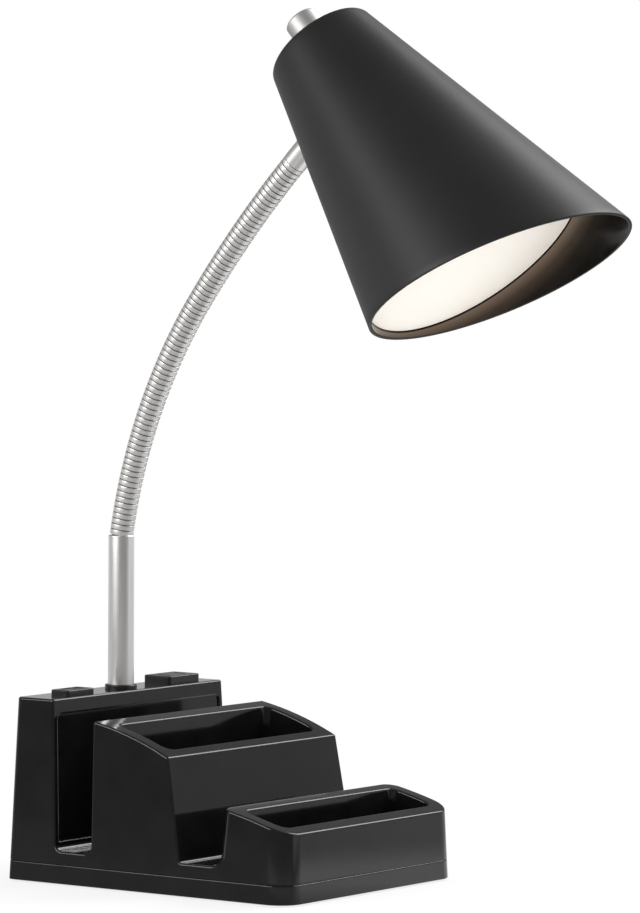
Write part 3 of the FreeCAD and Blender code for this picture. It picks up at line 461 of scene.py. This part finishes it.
def nickel_plate(name, stretch, rough, level):
    """Nickel plate with fine lines, or fine grain where nothing is stretched."""
    made, tree, shader = material(name)
    lines = noise(tree, scale=2600.0, detail=3.0, stretch=stretch)
    light = [level * share for share in nickel_shares]
    dark = [value * nickel_line_share for value in light]
    tint(tree, shader, lines, dark, light)
    shader.inputs["Metallic"].default_value = 1.0
    roughen(tree, shader, lines, *rough)
    bump(tree, shader, lines, strength=0.08, distance=0.00002)
    return made


def neck_steel():
    """Satin steel of the neck, with painted shade darkening its grooves."""
    made, tree, shader = material("neck_steel")
    lines = noise(tree, scale=900.0, detail=3.0)
    # Painted shade: the colour darkens with the groove's depth written on the mesh
    groove = tree.nodes.new("ShaderNodeVertexColor")
    groove.layer_name = "groove"
    crest_colour = (0.9, 0.89, 0.87)
    groove_shade_colour = (0.16, 0.157, 0.152)
    tint(tree, shader, groove.outputs["Color"], crest_colour, groove_shade_colour, low=0.35, high=0.9)
    shader.inputs["Metallic"].default_value = 1.0
    roughen(tree, shader, lines, low=0.38, high=0.5)
    bump(tree, shader, lines, strength=0.06, distance=0.00003)
    return made


def milky_glow():
    """Lit milky plastic that follows the glow written on the mesh, and is warmer where that is low."""
    made, tree, shader = material("milky_glow")
    grain = noise(tree, scale=500.0, detail=2.0)
    tint(tree, shader, grain, dark=(0.76, 0.73, 0.68), light=(0.8, 0.77, 0.72))
    shader.inputs["Roughness"].default_value = 0.4
    glow = tree.nodes.new("ShaderNodeVertexColor")
    glow.layer_name = "glow"
    low_colour = (0.46, 0.39, 0.32)
    full_colour = (1.0, 0.94, 0.84)
    light = colour_between(tree, glow.outputs["Color"], low_colour, full_colour, low=0.0, high=1.0)
    tree.links.new(light, shader.inputs["Emission Color"])
    shader.inputs["Emission Strength"].default_value = glow_strength
    return made


def soft_black(name, dark, light, rough, grain_scale, grain_depth):
    """Dull black for rubber and inserts."""
    made, tree, shader = material(name)
    cloud = noise(tree, scale=grain_scale * cloud_share, detail=3.0)
    tint(tree, shader, cloud, (dark, dark, dark), (light, light, light))
    haze = noise(tree, scale=grain_scale, detail=3.0)
    roughen(tree, shader, haze, rough - rubber_stray, rough + rubber_stray)
    bump(tree, shader, haze, strength=0.2, distance=grain_depth)
    return made


def plain_metal(name, dark, light, rough):
    """Zinc, iron, brass or aluminium with a cloudy finish."""
    made, tree, shader = material(name)
    cloud = noise(tree, scale=400.0, detail=4.0)
    tint(tree, shader, cloud, dark, light)
    shader.inputs["Metallic"].default_value = 1.0
    roughen(tree, shader, cloud, rough - metal_stray, rough + metal_stray)
    bump(tree, shader, cloud, strength=0.1, distance=0.00003)
    return made


def tinted_plastic(name, dark, light, rough):
    """Plain inner plastic with a light mottle."""
    made, tree, shader = material(name)
    cloud = noise(tree, scale=300.0, detail=3.0)
    tint(tree, shader, cloud, dark, light)
    roughen(tree, shader, cloud, rough - plastic_stray, rough + plastic_stray)
    bump(tree, shader, cloud, strength=0.08, distance=0.00003)
    return made


gloss = gloss_black()
satin = satin_black()
nickel = nickel_plate("brushed_nickel", stretch=(1.0, 1.0, 0.02), rough=(0.32, 0.42), level=0.97)
turned_nickel = nickel_plate("turned_nickel", stretch=(1.0, 1.0, 1.0), rough=(0.5, 0.58), level=0.72)
steel = neck_steel()
milk = milky_glow()
insert_black = soft_black("insert_black", 0.008, 0.014, rough=0.3, grain_scale=2400.0, grain_depth=0.00002)
rubber = soft_black("rubber", 0.012, 0.022, rough=0.75, grain_scale=1600.0, grain_depth=0.00008)
zinc = plain_metal("zinc", (0.42, 0.42, 0.44), (0.6, 0.6, 0.62), rough=0.35)
iron = plain_metal("iron", (0.1, 0.1, 0.105), (0.2, 0.19, 0.19), rough=0.55)
brass = plain_metal("brass", (0.55, 0.4, 0.16), (0.75, 0.58, 0.28), rough=0.3)
aluminium = plain_metal("aluminium", (0.68, 0.68, 0.69), (0.82, 0.82, 0.83), rough=0.32)
board_green = tinted_plastic("board_green", (0.02, 0.09, 0.04), (0.03, 0.13, 0.06), rough=0.4)
part_grey = tinted_plastic("part_grey", (0.03, 0.03, 0.032), (0.06, 0.06, 0.065), rough=0.5)
part_white = tinted_plastic("part_white", (0.62, 0.62, 0.6), (0.74, 0.73, 0.7), rough=0.45)


# CAD nodes that keep their shape


def smooth_group():
    """Node group that joins a CAD mesh's faces and shades them smooth up to a limiting angle."""
    group = bpy.data.node_groups.new("smooth_faces", "GeometryNodeTree")
    group.interface.new_socket("Geometry", in_out="INPUT", socket_type="NodeSocketGeometry")
    group.interface.new_socket("Geometry", in_out="OUTPUT", socket_type="NodeSocketGeometry")
    start = group.nodes.new("NodeGroupInput")
    end = group.nodes.new("NodeGroupOutput")
    merge = group.nodes.new("GeometryNodeMergeByDistance")
    merge.inputs["Distance"].default_value = cad_weld_distance
    faces = group.nodes.new("GeometryNodeSetShadeSmooth")
    faces.domain = "FACE"
    edges = group.nodes.new("GeometryNodeSetShadeSmooth")
    edges.domain = "EDGE"
    angle = group.nodes.new("GeometryNodeInputMeshEdgeAngle")
    test = group.nodes.new("FunctionNodeCompare")
    test.data_type = "FLOAT"
    test.operation = "LESS_THAN"
    test.inputs["B"].default_value = math.radians(cad_smooth_limit_deg)
    group.links.new(start.outputs[0], merge.inputs["Geometry"])
    group.links.new(merge.outputs["Geometry"], faces.inputs["Geometry"])
    group.links.new(faces.outputs["Geometry"], edges.inputs["Geometry"])
    group.links.new(angle.outputs["Unsigned Angle"], test.inputs["A"])
    group.links.new(test.outputs["Result"], edges.inputs["Shade Smooth"])
    group.links.new(edges.outputs["Geometry"], end.inputs[0])
    return group


smooth_faces = smooth_group()

finishes = {
    "base_housing": gloss,
    "bottom_cover": gloss,
    "non_slip_pad": rubber,
    "ballast_plate": iron,
    "cover_screws": zinc,
    "usb_bezel": insert_black,
    "usb_socket_shell": zinc,
    "usb_tongue": part_white,
    "charging_board": board_green,
    "board_parts": part_grey,
    "board_screws": zinc,
    "outlet_insert": insert_black,
    "outlet_contacts": brass,
    "inlet_bushing": rubber,
    "post_bushing": insert_black,
    "post_nipple": zinc,
    "post_washer": zinc,
    "post_nut": zinc,
    "top_ferrule": nickel,
    "shade_nipple": zinc,
    "shade_washer": zinc,
    "shade_nut": zinc,
    "led_carrier": aluminium,
    "led_board": part_white,
    "led_chips": part_white,
    "driver_case": part_white,
    "rotary_switch": part_grey,
    "switch_nut": zinc,
    "switch_shaft": zinc,
}


def dress_nodes():
    """Give each carried CAD node its material and soft shading that weighs its large faces most."""
    for name, finish in finishes.items():
        obj = frame["nodes"][name]
        obj.data.materials.clear()
        obj.data.materials.append(finish)
        smooth = obj.modifiers.new("smooth", "NODES")
        smooth.node_group = smooth_faces
        weighted = obj.modifiers.new("weighted", "WEIGHTED_NORMAL")
        weighted.keep_sharp = True
        weighted.weight = large_face_weight


# Directions and places taken from the frame. The neck bends in the plane of up and behind, and the
# shade's axis runs from its small end to its mouth

joints = {joint["name"]: joint for joint in frame["joints"]}
knob_joint = joints["knob_turn"]
shade_axis = -Vector(knob_joint["axis"]).normalized()
shade_origin = Vector(knob_joint["pos_m"]) + shade_axis * knob_joint_offset
up = Vector((0.0, 0.0, 1.0))
right = up.cross(shade_axis).normalized()
behind = up.cross(right)
shade_front = shade_axis.cross(right).normalized()
if shade_front.y > 0:
    shade_front = -shade_front


# Post


def post_axis_point(z):
    """Point on the post's axis at a height."""
    low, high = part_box("post_tube")
    return Vector(((low.x + high.x) / 2, (low.y + high.y) / 2, z))


def build_post():
    """Tube with slightly rounded ends."""
    low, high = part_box("post_tube")
    length = high.z - low.z
    flat_radius = post_radius - post_edge
    profile = [(post_bore, length - 2 * post_edge), (post_bore, length)]
    profile += arc_points((flat_radius, length - post_edge), post_edge, 90.0, 0.0, post_edge_steps)
    profile += arc_points((flat_radius, post_edge), post_edge, 0.0, -90.0, post_edge_steps)
    profile += [(post_bore, 0.0), profile[0]]
    post = lathe("post", profile, post_axis_point(low.z), up, right, nickel)
    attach(post, "base")
    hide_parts("post_tube")


# Neck

neck_length = neck_lower_length + neck_upper_length
link_length = neck_length / link_count
rib_pitch = (neck_length - neck_foot_gap) / rib_count
neck_start = post_axis_point(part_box("post_tube")[1].z)


def neck_angle(s):
    """Lean from upright at a distance along the neck."""
    if s <= neck_lower_length:
        share = s / neck_lower_length
        return math.radians(neck_start_deg + share * (neck_middle_deg - neck_start_deg))
    share = (s - neck_lower_length) / neck_upper_length
    return math.radians(neck_middle_deg + share * (neck_end_deg - neck_middle_deg))


def arc_step(start, s_from, s_to):
    """Point reached from a start by following one of the neck's arcs between two distances."""
    a, b = neck_angle(s_from), neck_angle(s_to)
    if a == b:
        return start.copy()
    radius = (s_to - s_from) / (b - a)
    return start + (behind * (math.cos(b) - math.cos(a)) + up * (math.sin(b) - math.sin(a))) * radius


def neck_point(s):
    """Point on the neck's axis at a distance along it."""
    if s <= neck_lower_length:
        return arc_step(neck_start, 0.0, s)
    return arc_step(arc_step(neck_start, 0.0, neck_lower_length), neck_lower_length, s)


def neck_direction(s):
    """Direction of the neck's axis at a distance along it."""
    angle = neck_angle(s)
    return up * math.cos(angle) - behind * math.sin(angle)


def rib_places():
    """Every (distance, share of the groove's depth) along the neck, rib by rib."""
    places = []
    for rib in range(rib_count):
        for share, depth in rib_profile_shares:
            places.append((neck_foot_gap + (rib + share) * rib_pitch, depth))
    places.append((neck_length, 1.0))
    return places


def split_places():
    """Rib places split at the middle of each link. Neighbours share the place where they meet."""
    everything = rib_places()
    cuts = [(k + 0.5) * link_length for k in range(link_count)] + [math.inf]
    groups = []
    start = 0
    for high in cuts:
        end = start
        while end + 1 < len(everything) and everything[end + 1][0] <= high:
            end += 1
        groups.append(everything[start:end + 1])
        start = end
    return groups


def neck_piece(number, places):
    """Stretch of ribbed hose through the given places, with its groove depth as a colour that the steel
    turns into painted shade.
    """
    bm = bmesh.new()
    layer = bm.loops.layers.color.new("groove")
    rings = []
    depth_of = {}
    for s, depth in places:
        across = neck_direction(s).cross(right)
        radius = rib_crest_radius - rib_depth * depth
        ring = ring_of(bm, neck_point(s), right, across, radius, neck_turn_steps)
        rings.append(ring)
        for vert in ring:
            depth_of[vert] = depth
    for k in range(len(rings) - 1):
        bridge(bm, rings[k], rings[k + 1])
    for face in bm.faces:
        for loop in face.loops:
            shade = depth_of[loop.vert]
            loop[layer] = (shade, shade, shade, 1.0)
    return new_piece(f"neck_hose_{number}", bm, [steel], hose_smooth_limit_deg)


def build_neck():
    """One piece for each joint, and plain pieces at both ends."""
    for number, places in enumerate(split_places()):
        piece = neck_piece(number, places)
        if number == 0:
            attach(piece, "base")
            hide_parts("neck_link_1")
            continue
        if number == link_count:
            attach(piece, "head")
            continue
        middle = number * link_length
        start = neck_point(middle - bend_half_length)
        end = neck_point(middle + bend_half_length)
        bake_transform(piece)
        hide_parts(f"neck_link_{number + 1}")


# Shade

flare_angle = math.atan(shade_flare)
wall_across = shade_wall / math.cos(flare_angle)
outer_slot = 0
inner_slot = 1


def shade_radius(place):
    """Outer radius of the shade at a distance along its axis."""
    return shade_small_radius + place * shade_flare


def mouth_place(turn):
    """Distance along the axis where the slanting mouth cuts the wall, at an angle round the axis."""
    lean = mouth_slope * math.sin(turn)
    return (shade_length + lean * shade_small_radius) / (1.0 - lean * shade_flare)


def shade_point(radius, place, turn):
    """Point of the shade from a radius, a distance along the axis and an angle round it."""
    out = right * math.cos(turn) + shade_front * math.sin(turn)
    return shade_origin + shade_axis * place + out * radius


def rim_point(rim_start, step):
    """Inset from the wall and place along the axis after some steps up the rim's rounding."""
    bend = math.pi / 2 * step / rim_steps
    inset = shade_rim_radius * (1.0 - math.cos(bend))
    return inset, rim_start + shade_rim_radius * math.sin(bend)


def shade_profile(end):
    """Points (radius, place, slot) of the wall that ends at a place: out over the small end and
    down the outside, round the rim, and back up the inside."""
    points = [(cap_hole_radius, shade_wall, outer_slot), (cap_hole_radius, 0.0, outer_slot)]
    shoulder_end = shoulder_radius * (1.0 - math.sin(flare_angle))
    cap_radius = shade_radius(shoulder_end) - shoulder_radius * math.cos(flare_angle)
    for k in range(1, cap_rings):
        radius = cap_hole_radius + (cap_radius - cap_hole_radius) * k / cap_rings
        points.append((radius, 0.0, outer_slot))
    centre = (cap_radius, shoulder_radius)
    flare_deg = math.degrees(flare_angle)
    for radius, place in arc_points(centre, shoulder_radius, -90.0, -flare_deg, shoulder_steps):
        points.append((radius, place, outer_slot))
    rim_start = end - shade_rim_radius
    for k in range(1, shade_rows + 1):
        place = shoulder_end + (rim_start - shoulder_end) * k / shade_rows
        points.append((shade_radius(place), place, outer_slot))
    for k in range(1, rim_steps + 1):
        inset, place = rim_point(rim_start, k)
        points.append((shade_radius(place) - inset, place, outer_slot))
    for k in range(1, rim_steps + 1):
        inset, place = rim_point(rim_start, rim_steps - k)
        slot = outer_slot if k <= painted_rim_steps else inner_slot
        points.append((shade_radius(place) - wall_across + inset, place, slot))
    for k in range(1, shade_rows + 1):
        place = rim_start + (shade_wall - rim_start) * k / shade_rows
        points.append((shade_radius(place) - wall_across, place, inner_slot))
    points.append((cap_hole_radius, shade_wall, inner_slot))
    return points


def build_shade():
    """Thin cone with a closed small end and a slanting mouth with a rounded rim."""
    bm = bmesh.new()
    columns = []
    for i in range(shade_turn_steps):
        turn = 2 * math.pi * i / shade_turn_steps
        points = shade_profile(mouth_place(turn))
        columns.append([(bm.verts.new(shade_point(r, z, turn)), slot) for r, z, slot in points])
    for i in range(shade_turn_steps):
        near, far = columns[i], columns[(i + 1) % shade_turn_steps]
        for k in range(len(near) - 1):
            face = bm.faces.new((near[k][0], near[k + 1][0], far[k + 1][0], far[k][0]))
            face.material_index = near[k + 1][1]
    bmesh.ops.remove_doubles(bm, verts=bm.verts, dist=weld_distance)
    shade = new_piece("shade_shell", bm, [satin, inner_gloss()], shade_smooth_limit_deg)
    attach(shade, "head")
    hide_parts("shade")


# Light unit


def shade_fit_radius(place):
    """Radius that fits inside the shade's wall with the diffuser's gap."""
    return shade_radius(place) - wall_across - diffuser_gap


def build_diffuser():
    """Milky cap with a rounded edge. Its face leans a little, and glows most at its middle, at the
    back and in a thin ring at its edge."""
    inner = shade_fit_radius(diffuser_place)
    flat_radius = inner - diffuser_edge
    skirt_end = ledge_place + diffuser_thickness
    edge_centre = (flat_radius, diffuser_place - diffuser_edge)
    profile = [(flat_radius * k / diffuser_rings, diffuser_place) for k in range(diffuser_rings)]
    profile += [(flat_radius - diffuser_edge, diffuser_place)]
    profile += arc_points(edge_centre, diffuser_edge, 90.0, 0.0, diffuser_edge_steps)
    profile += [(shade_fit_radius(skirt_end), skirt_end)]
    piece = lathe("diffuser_cap", profile, shade_origin, shade_axis, right, milk, diffuser_turn_steps)
    layer = piece.data.color_attributes.new("glow", "FLOAT_COLOR", "POINT")
    centre = shade_origin + shade_axis * diffuser_place
    for vert in piece.data.vertices:
        offset = vert.co - centre
        place = offset.dot(shade_axis)
        outward = offset - shade_axis * place
        radius = outward.length
        forward = outward.dot(shade_front) / inner
        middle = 1.0 - (radius / inner) ** 2
        glow = middle_glow_share * middle + even_glow_share - front_glow_share * forward
        glow = max(0.0, min(1.0, glow))
        if radius > flat_radius - diffuser_edge / 2:
            glow = 1.0
        layer.data[vert.index].color = (glow, glow, glow, 1.0)
        if place > -2 * diffuser_edge:
            lean = diffuser_lean * forward
            vert.co += shade_axis * lean + outward.normalized() * lean * shade_flare
    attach(piece, "head")
    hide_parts("diffuser")


# Knob


def build_knob():
    """Turned knob with a rounded outer edge and fine lines on its face."""
    top = knob_lift + knob_height
    face_radius = knob_radius - knob_edge
    recess_end = knob_lift + knob_recess_depth
    profile = [(0.0, top)]
    for k in range(1, knob_face_rings + 1):
        dip = knob_line_depth * (k % 2)
        profile.append((face_radius * k / knob_face_rings, top - dip))
    profile += arc_points((face_radius, top - knob_edge), knob_edge, 90.0, 0.0, knob_edge_steps)
    profile += [
        (knob_radius, knob_lift + knob_foot_edge),
        (knob_radius - knob_foot_edge, knob_lift),
        (knob_recess_radius, knob_lift),
        (knob_recess_radius, recess_end),
        (knob_shaft_hole_radius, recess_end),
    ]
    piece = lathe("knob_body", profile, shade_origin, -shade_axis, right, turned_nickel)
    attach(piece, "dimmer_knob")
    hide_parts("knob")


# Stage, light and camera

view_heading = (math.cos(view_yaw), math.sin(view_yaw), 0.0)


def background_rays(tree):
    """One value that is 1 for camera rays, and one that is 1 for mirrored or refracted rays."""
    path = tree.nodes.new("ShaderNodeLightPath")
    mirrored = math_node(
        tree, "MAXIMUM", path.outputs["Is Glossy Ray"], path.outputs["Is Transmission Ray"]
    )
    return path.outputs["Is Camera Ray"], mirrored


def mirrored_floor(tree, place, away):
    """Level at which shiny surfaces see the floor, at a place and its distance from the middle."""
    outward = tree.nodes.new("ShaderNodeVectorMath")
    outward.operation = "NORMALIZE"
    tree.links.new(place, outward.inputs[0])
    towards = along(tree, outward.outputs["Vector"], view_heading)
    side = ranged(tree, towards, floor_side_fade, floor_side_levels)
    front = ranged(tree, towards, floor_front_fade, (floor_front_level, 0.0))
    far = math_node(tree, "MAXIMUM", side, front)
    near = ranged(tree, coordinate(tree, place, "X"), floor_near_fade, floor_near_levels)
    return blended(tree, ranged(tree, away, floor_near, (0.0, 1.0)), near, far)


def floor_white():
    """Pale table top that mixes into white. The share that it keeps near the lamp carries the
    lamp's shadow."""
    made, tree, shader = material("floor_white")
    cloud = noise(tree, scale=2.0, detail=1.0)
    tint(tree, shader, cloud, dark=(0.93, 0.93, 0.93), light=(0.95, 0.95, 0.95))
    shader.inputs["Roughness"].default_value = 0.9
    shader.inputs["Specular IOR Level"].default_value = 0.1
    seen, mirrored = background_rays(tree)
    place = tree.nodes.new("ShaderNodeTexCoord").outputs["Object"]
    distance = tree.nodes.new("ShaderNodeVectorMath")
    distance.operation = "LENGTH"
    tree.links.new(place, distance.inputs[0])
    away = distance.outputs["Value"]
    white = tree.nodes.new("ShaderNodeEmission")
    level = math_node(tree, "MAXIMUM", seen, mirrored_floor(tree, place, away))
    tree.links.new(level, white.inputs["Strength"])
    either = math_node(tree, "MAXIMUM", seen, mirrored)
    whitened = ranged(tree, away, floor_white_reach, (floor_white_share, 1.0))
    share = math_node(tree, "MULTIPLY", either, math_node(tree, "MAXIMUM", whitened, mirrored))
    surface = mixed_shaders(tree, share, shader.outputs["BSDF"], white.outputs["Emission"])
    tree.links.new(surface, tree.nodes["Material Output"].inputs["Surface"])
    return made


def build_stage():
    """Round table top under the lamp."""
    bm = bmesh.new()
    centre = Vector((0.0, 0.0, -floor_drop))
    along_x = Vector((1.0, 0.0, 0.0))
    along_y = Vector((0.0, 1.0, 0.0))
    bm.faces.new(ring_of(bm, centre, along_x, along_y, floor_radius, turn_steps))
    floor = new_piece("floor", bm, [floor_white()])


def area_light(name, place, width, height, power):
    """Rectangular light that faces the middle of the lamp."""
    data = bpy.data.lights.new(name, "AREA")
    data.shape = "RECTANGLE"
    data.size = width
    data.size_y = height
    data.energy = power
    obj = bpy.data.objects.new(name, data)
    bpy.context.scene.collection.objects.link(obj)
    obj.location = place
    obj.rotation_mode = "QUATERNION"
    obj.rotation_quaternion = (lamp_target - place).to_track_quat("-Z", "Y")


def light_place(azimuth_deg, elevation_deg, distance):
    """Place seen from the middle of the lamp at an azimuth, an elevation and a distance."""
    azimuth, elevation = math.radians(azimuth_deg), math.radians(elevation_deg)
    level = distance * math.cos(elevation)
    height = distance * math.sin(elevation)
    return Vector((level * math.cos(azimuth), level * math.sin(azimuth), height)) + lamp_target


def build_lights():
    """Two wide soft boxes, one at each side of the lamp."""
    for name, azimuth_deg, elevation_deg, distance, width, height, power in soft_boxes:
        area_light(name, light_place(azimuth_deg, elevation_deg, distance), width, height, power)


def background(tree, colour, strength):
    """World shader of one colour at a strength."""
    made = tree.nodes.new("ShaderNodeBackground")
    made.inputs["Color"].default_value = (*colour, 1.0)
    feed(tree, made.inputs["Strength"], strength)
    return made.outputs["Background"]


def studio_level(tree):
    """Strength of the studio in each direction: in a band about the lamp's level the backdrop and
    the card, above it the upper wall, and below it a lower wall that is darkest at the back."""
    direction = tree.nodes.new("ShaderNodeTexCoord").outputs["Generated"]
    towards = along(tree, direction, view_heading)
    aside = along(tree, direction, (math.cos(card_azimuth), math.sin(card_azimuth), 0.0))
    height = coordinate(tree, direction, "Z")
    backdrop = ranged(tree, towards, backdrop_fade, (front_wall, 1.0))
    card = ranged(tree, aside, card_edge, (0.0, 1.0))
    under_top = ranged(tree, height, backdrop_height, (1.0, 0.0))
    over_foot = ranged(tree, height, backdrop_depth, (0.0, 1.0))
    band = math_node(tree, "MULTIPLY", under_top, over_foot)
    lower = ranged(tree, towards, lower_fade, (lower_wall, lower_back))
    rest = blended(tree, over_foot, lower, upper_wall)
    return blended(tree, band, rest, math_node(tree, "MAXIMUM", backdrop, card))


def build_world():
    """White for the camera, the studio's walls for shiny surfaces, and an even fill for the rest."""
    world = bpy.data.worlds.new("studio")
    bpy.context.scene.world = world
    world.use_nodes = True
    tree = world.node_tree
    tree.nodes.clear()
    white = (1.0, 1.0, 1.0)
    seen = background(tree, white, 1.0)
    fill = background(tree, white, fill_strength)
    walls = background(tree, studio_colour, studio_level(tree))
    camera_ray, mirrored_ray = background_rays(tree)
    unseen = mixed_shaders(tree, mirrored_ray, fill, walls)
    out = tree.nodes.new("ShaderNodeOutputWorld")
    tree.links.new(mixed_shaders(tree, camera_ray, unseen, seen), out.inputs["Surface"])


def build_camera():
    """Camera at the picture's place. The point under the middle of the base lands on its pixel."""
    look = Vector(
        (
            math.cos(view_yaw) * math.cos(view_pitch),
            math.sin(view_yaw) * math.cos(view_pitch),
            -math.sin(view_pitch),
        )
    )
    level_right = look.cross(up).normalized()
    level_up = level_right.cross(look)
    image_right = level_right * math.cos(view_roll) + level_up * math.sin(view_roll)
    image_up = level_up * math.cos(view_roll) - level_right * math.sin(view_roll)
    shift_right = (anchor_pixel_x - picture_width / 2) / focal_pixels * view_distance
    shift_up = -(anchor_pixel_y - picture_height / 2) / focal_pixels * view_distance
    anchor = Vector((0.0, 0.0, anchor_height))
    place = anchor - look * view_distance - image_right * shift_right - image_up * shift_up
    data = bpy.data.cameras.new("camera")
    data.sensor_width = sensor_width
    data.lens = focal_pixels * sensor_width / max(picture_width, picture_height)
    data.clip_start = clip_start
    data.clip_end = clip_end
    obj = bpy.data.objects.new("camera", data)
    bpy.context.scene.collection.objects.link(obj)
    turn = Matrix((image_right, image_up, -look)).transposed()
    obj.matrix_world = Matrix.Translation(place) @ turn.to_4x4()
    bpy.context.scene.camera = obj


dress_nodes()
build_post()
build_neck()
build_shade()
build_diffuser()
build_knob()
build_stage()
build_lights()
build_world()
build_camera()
bpy.context.scene.view_settings.view_transform = "Standard"
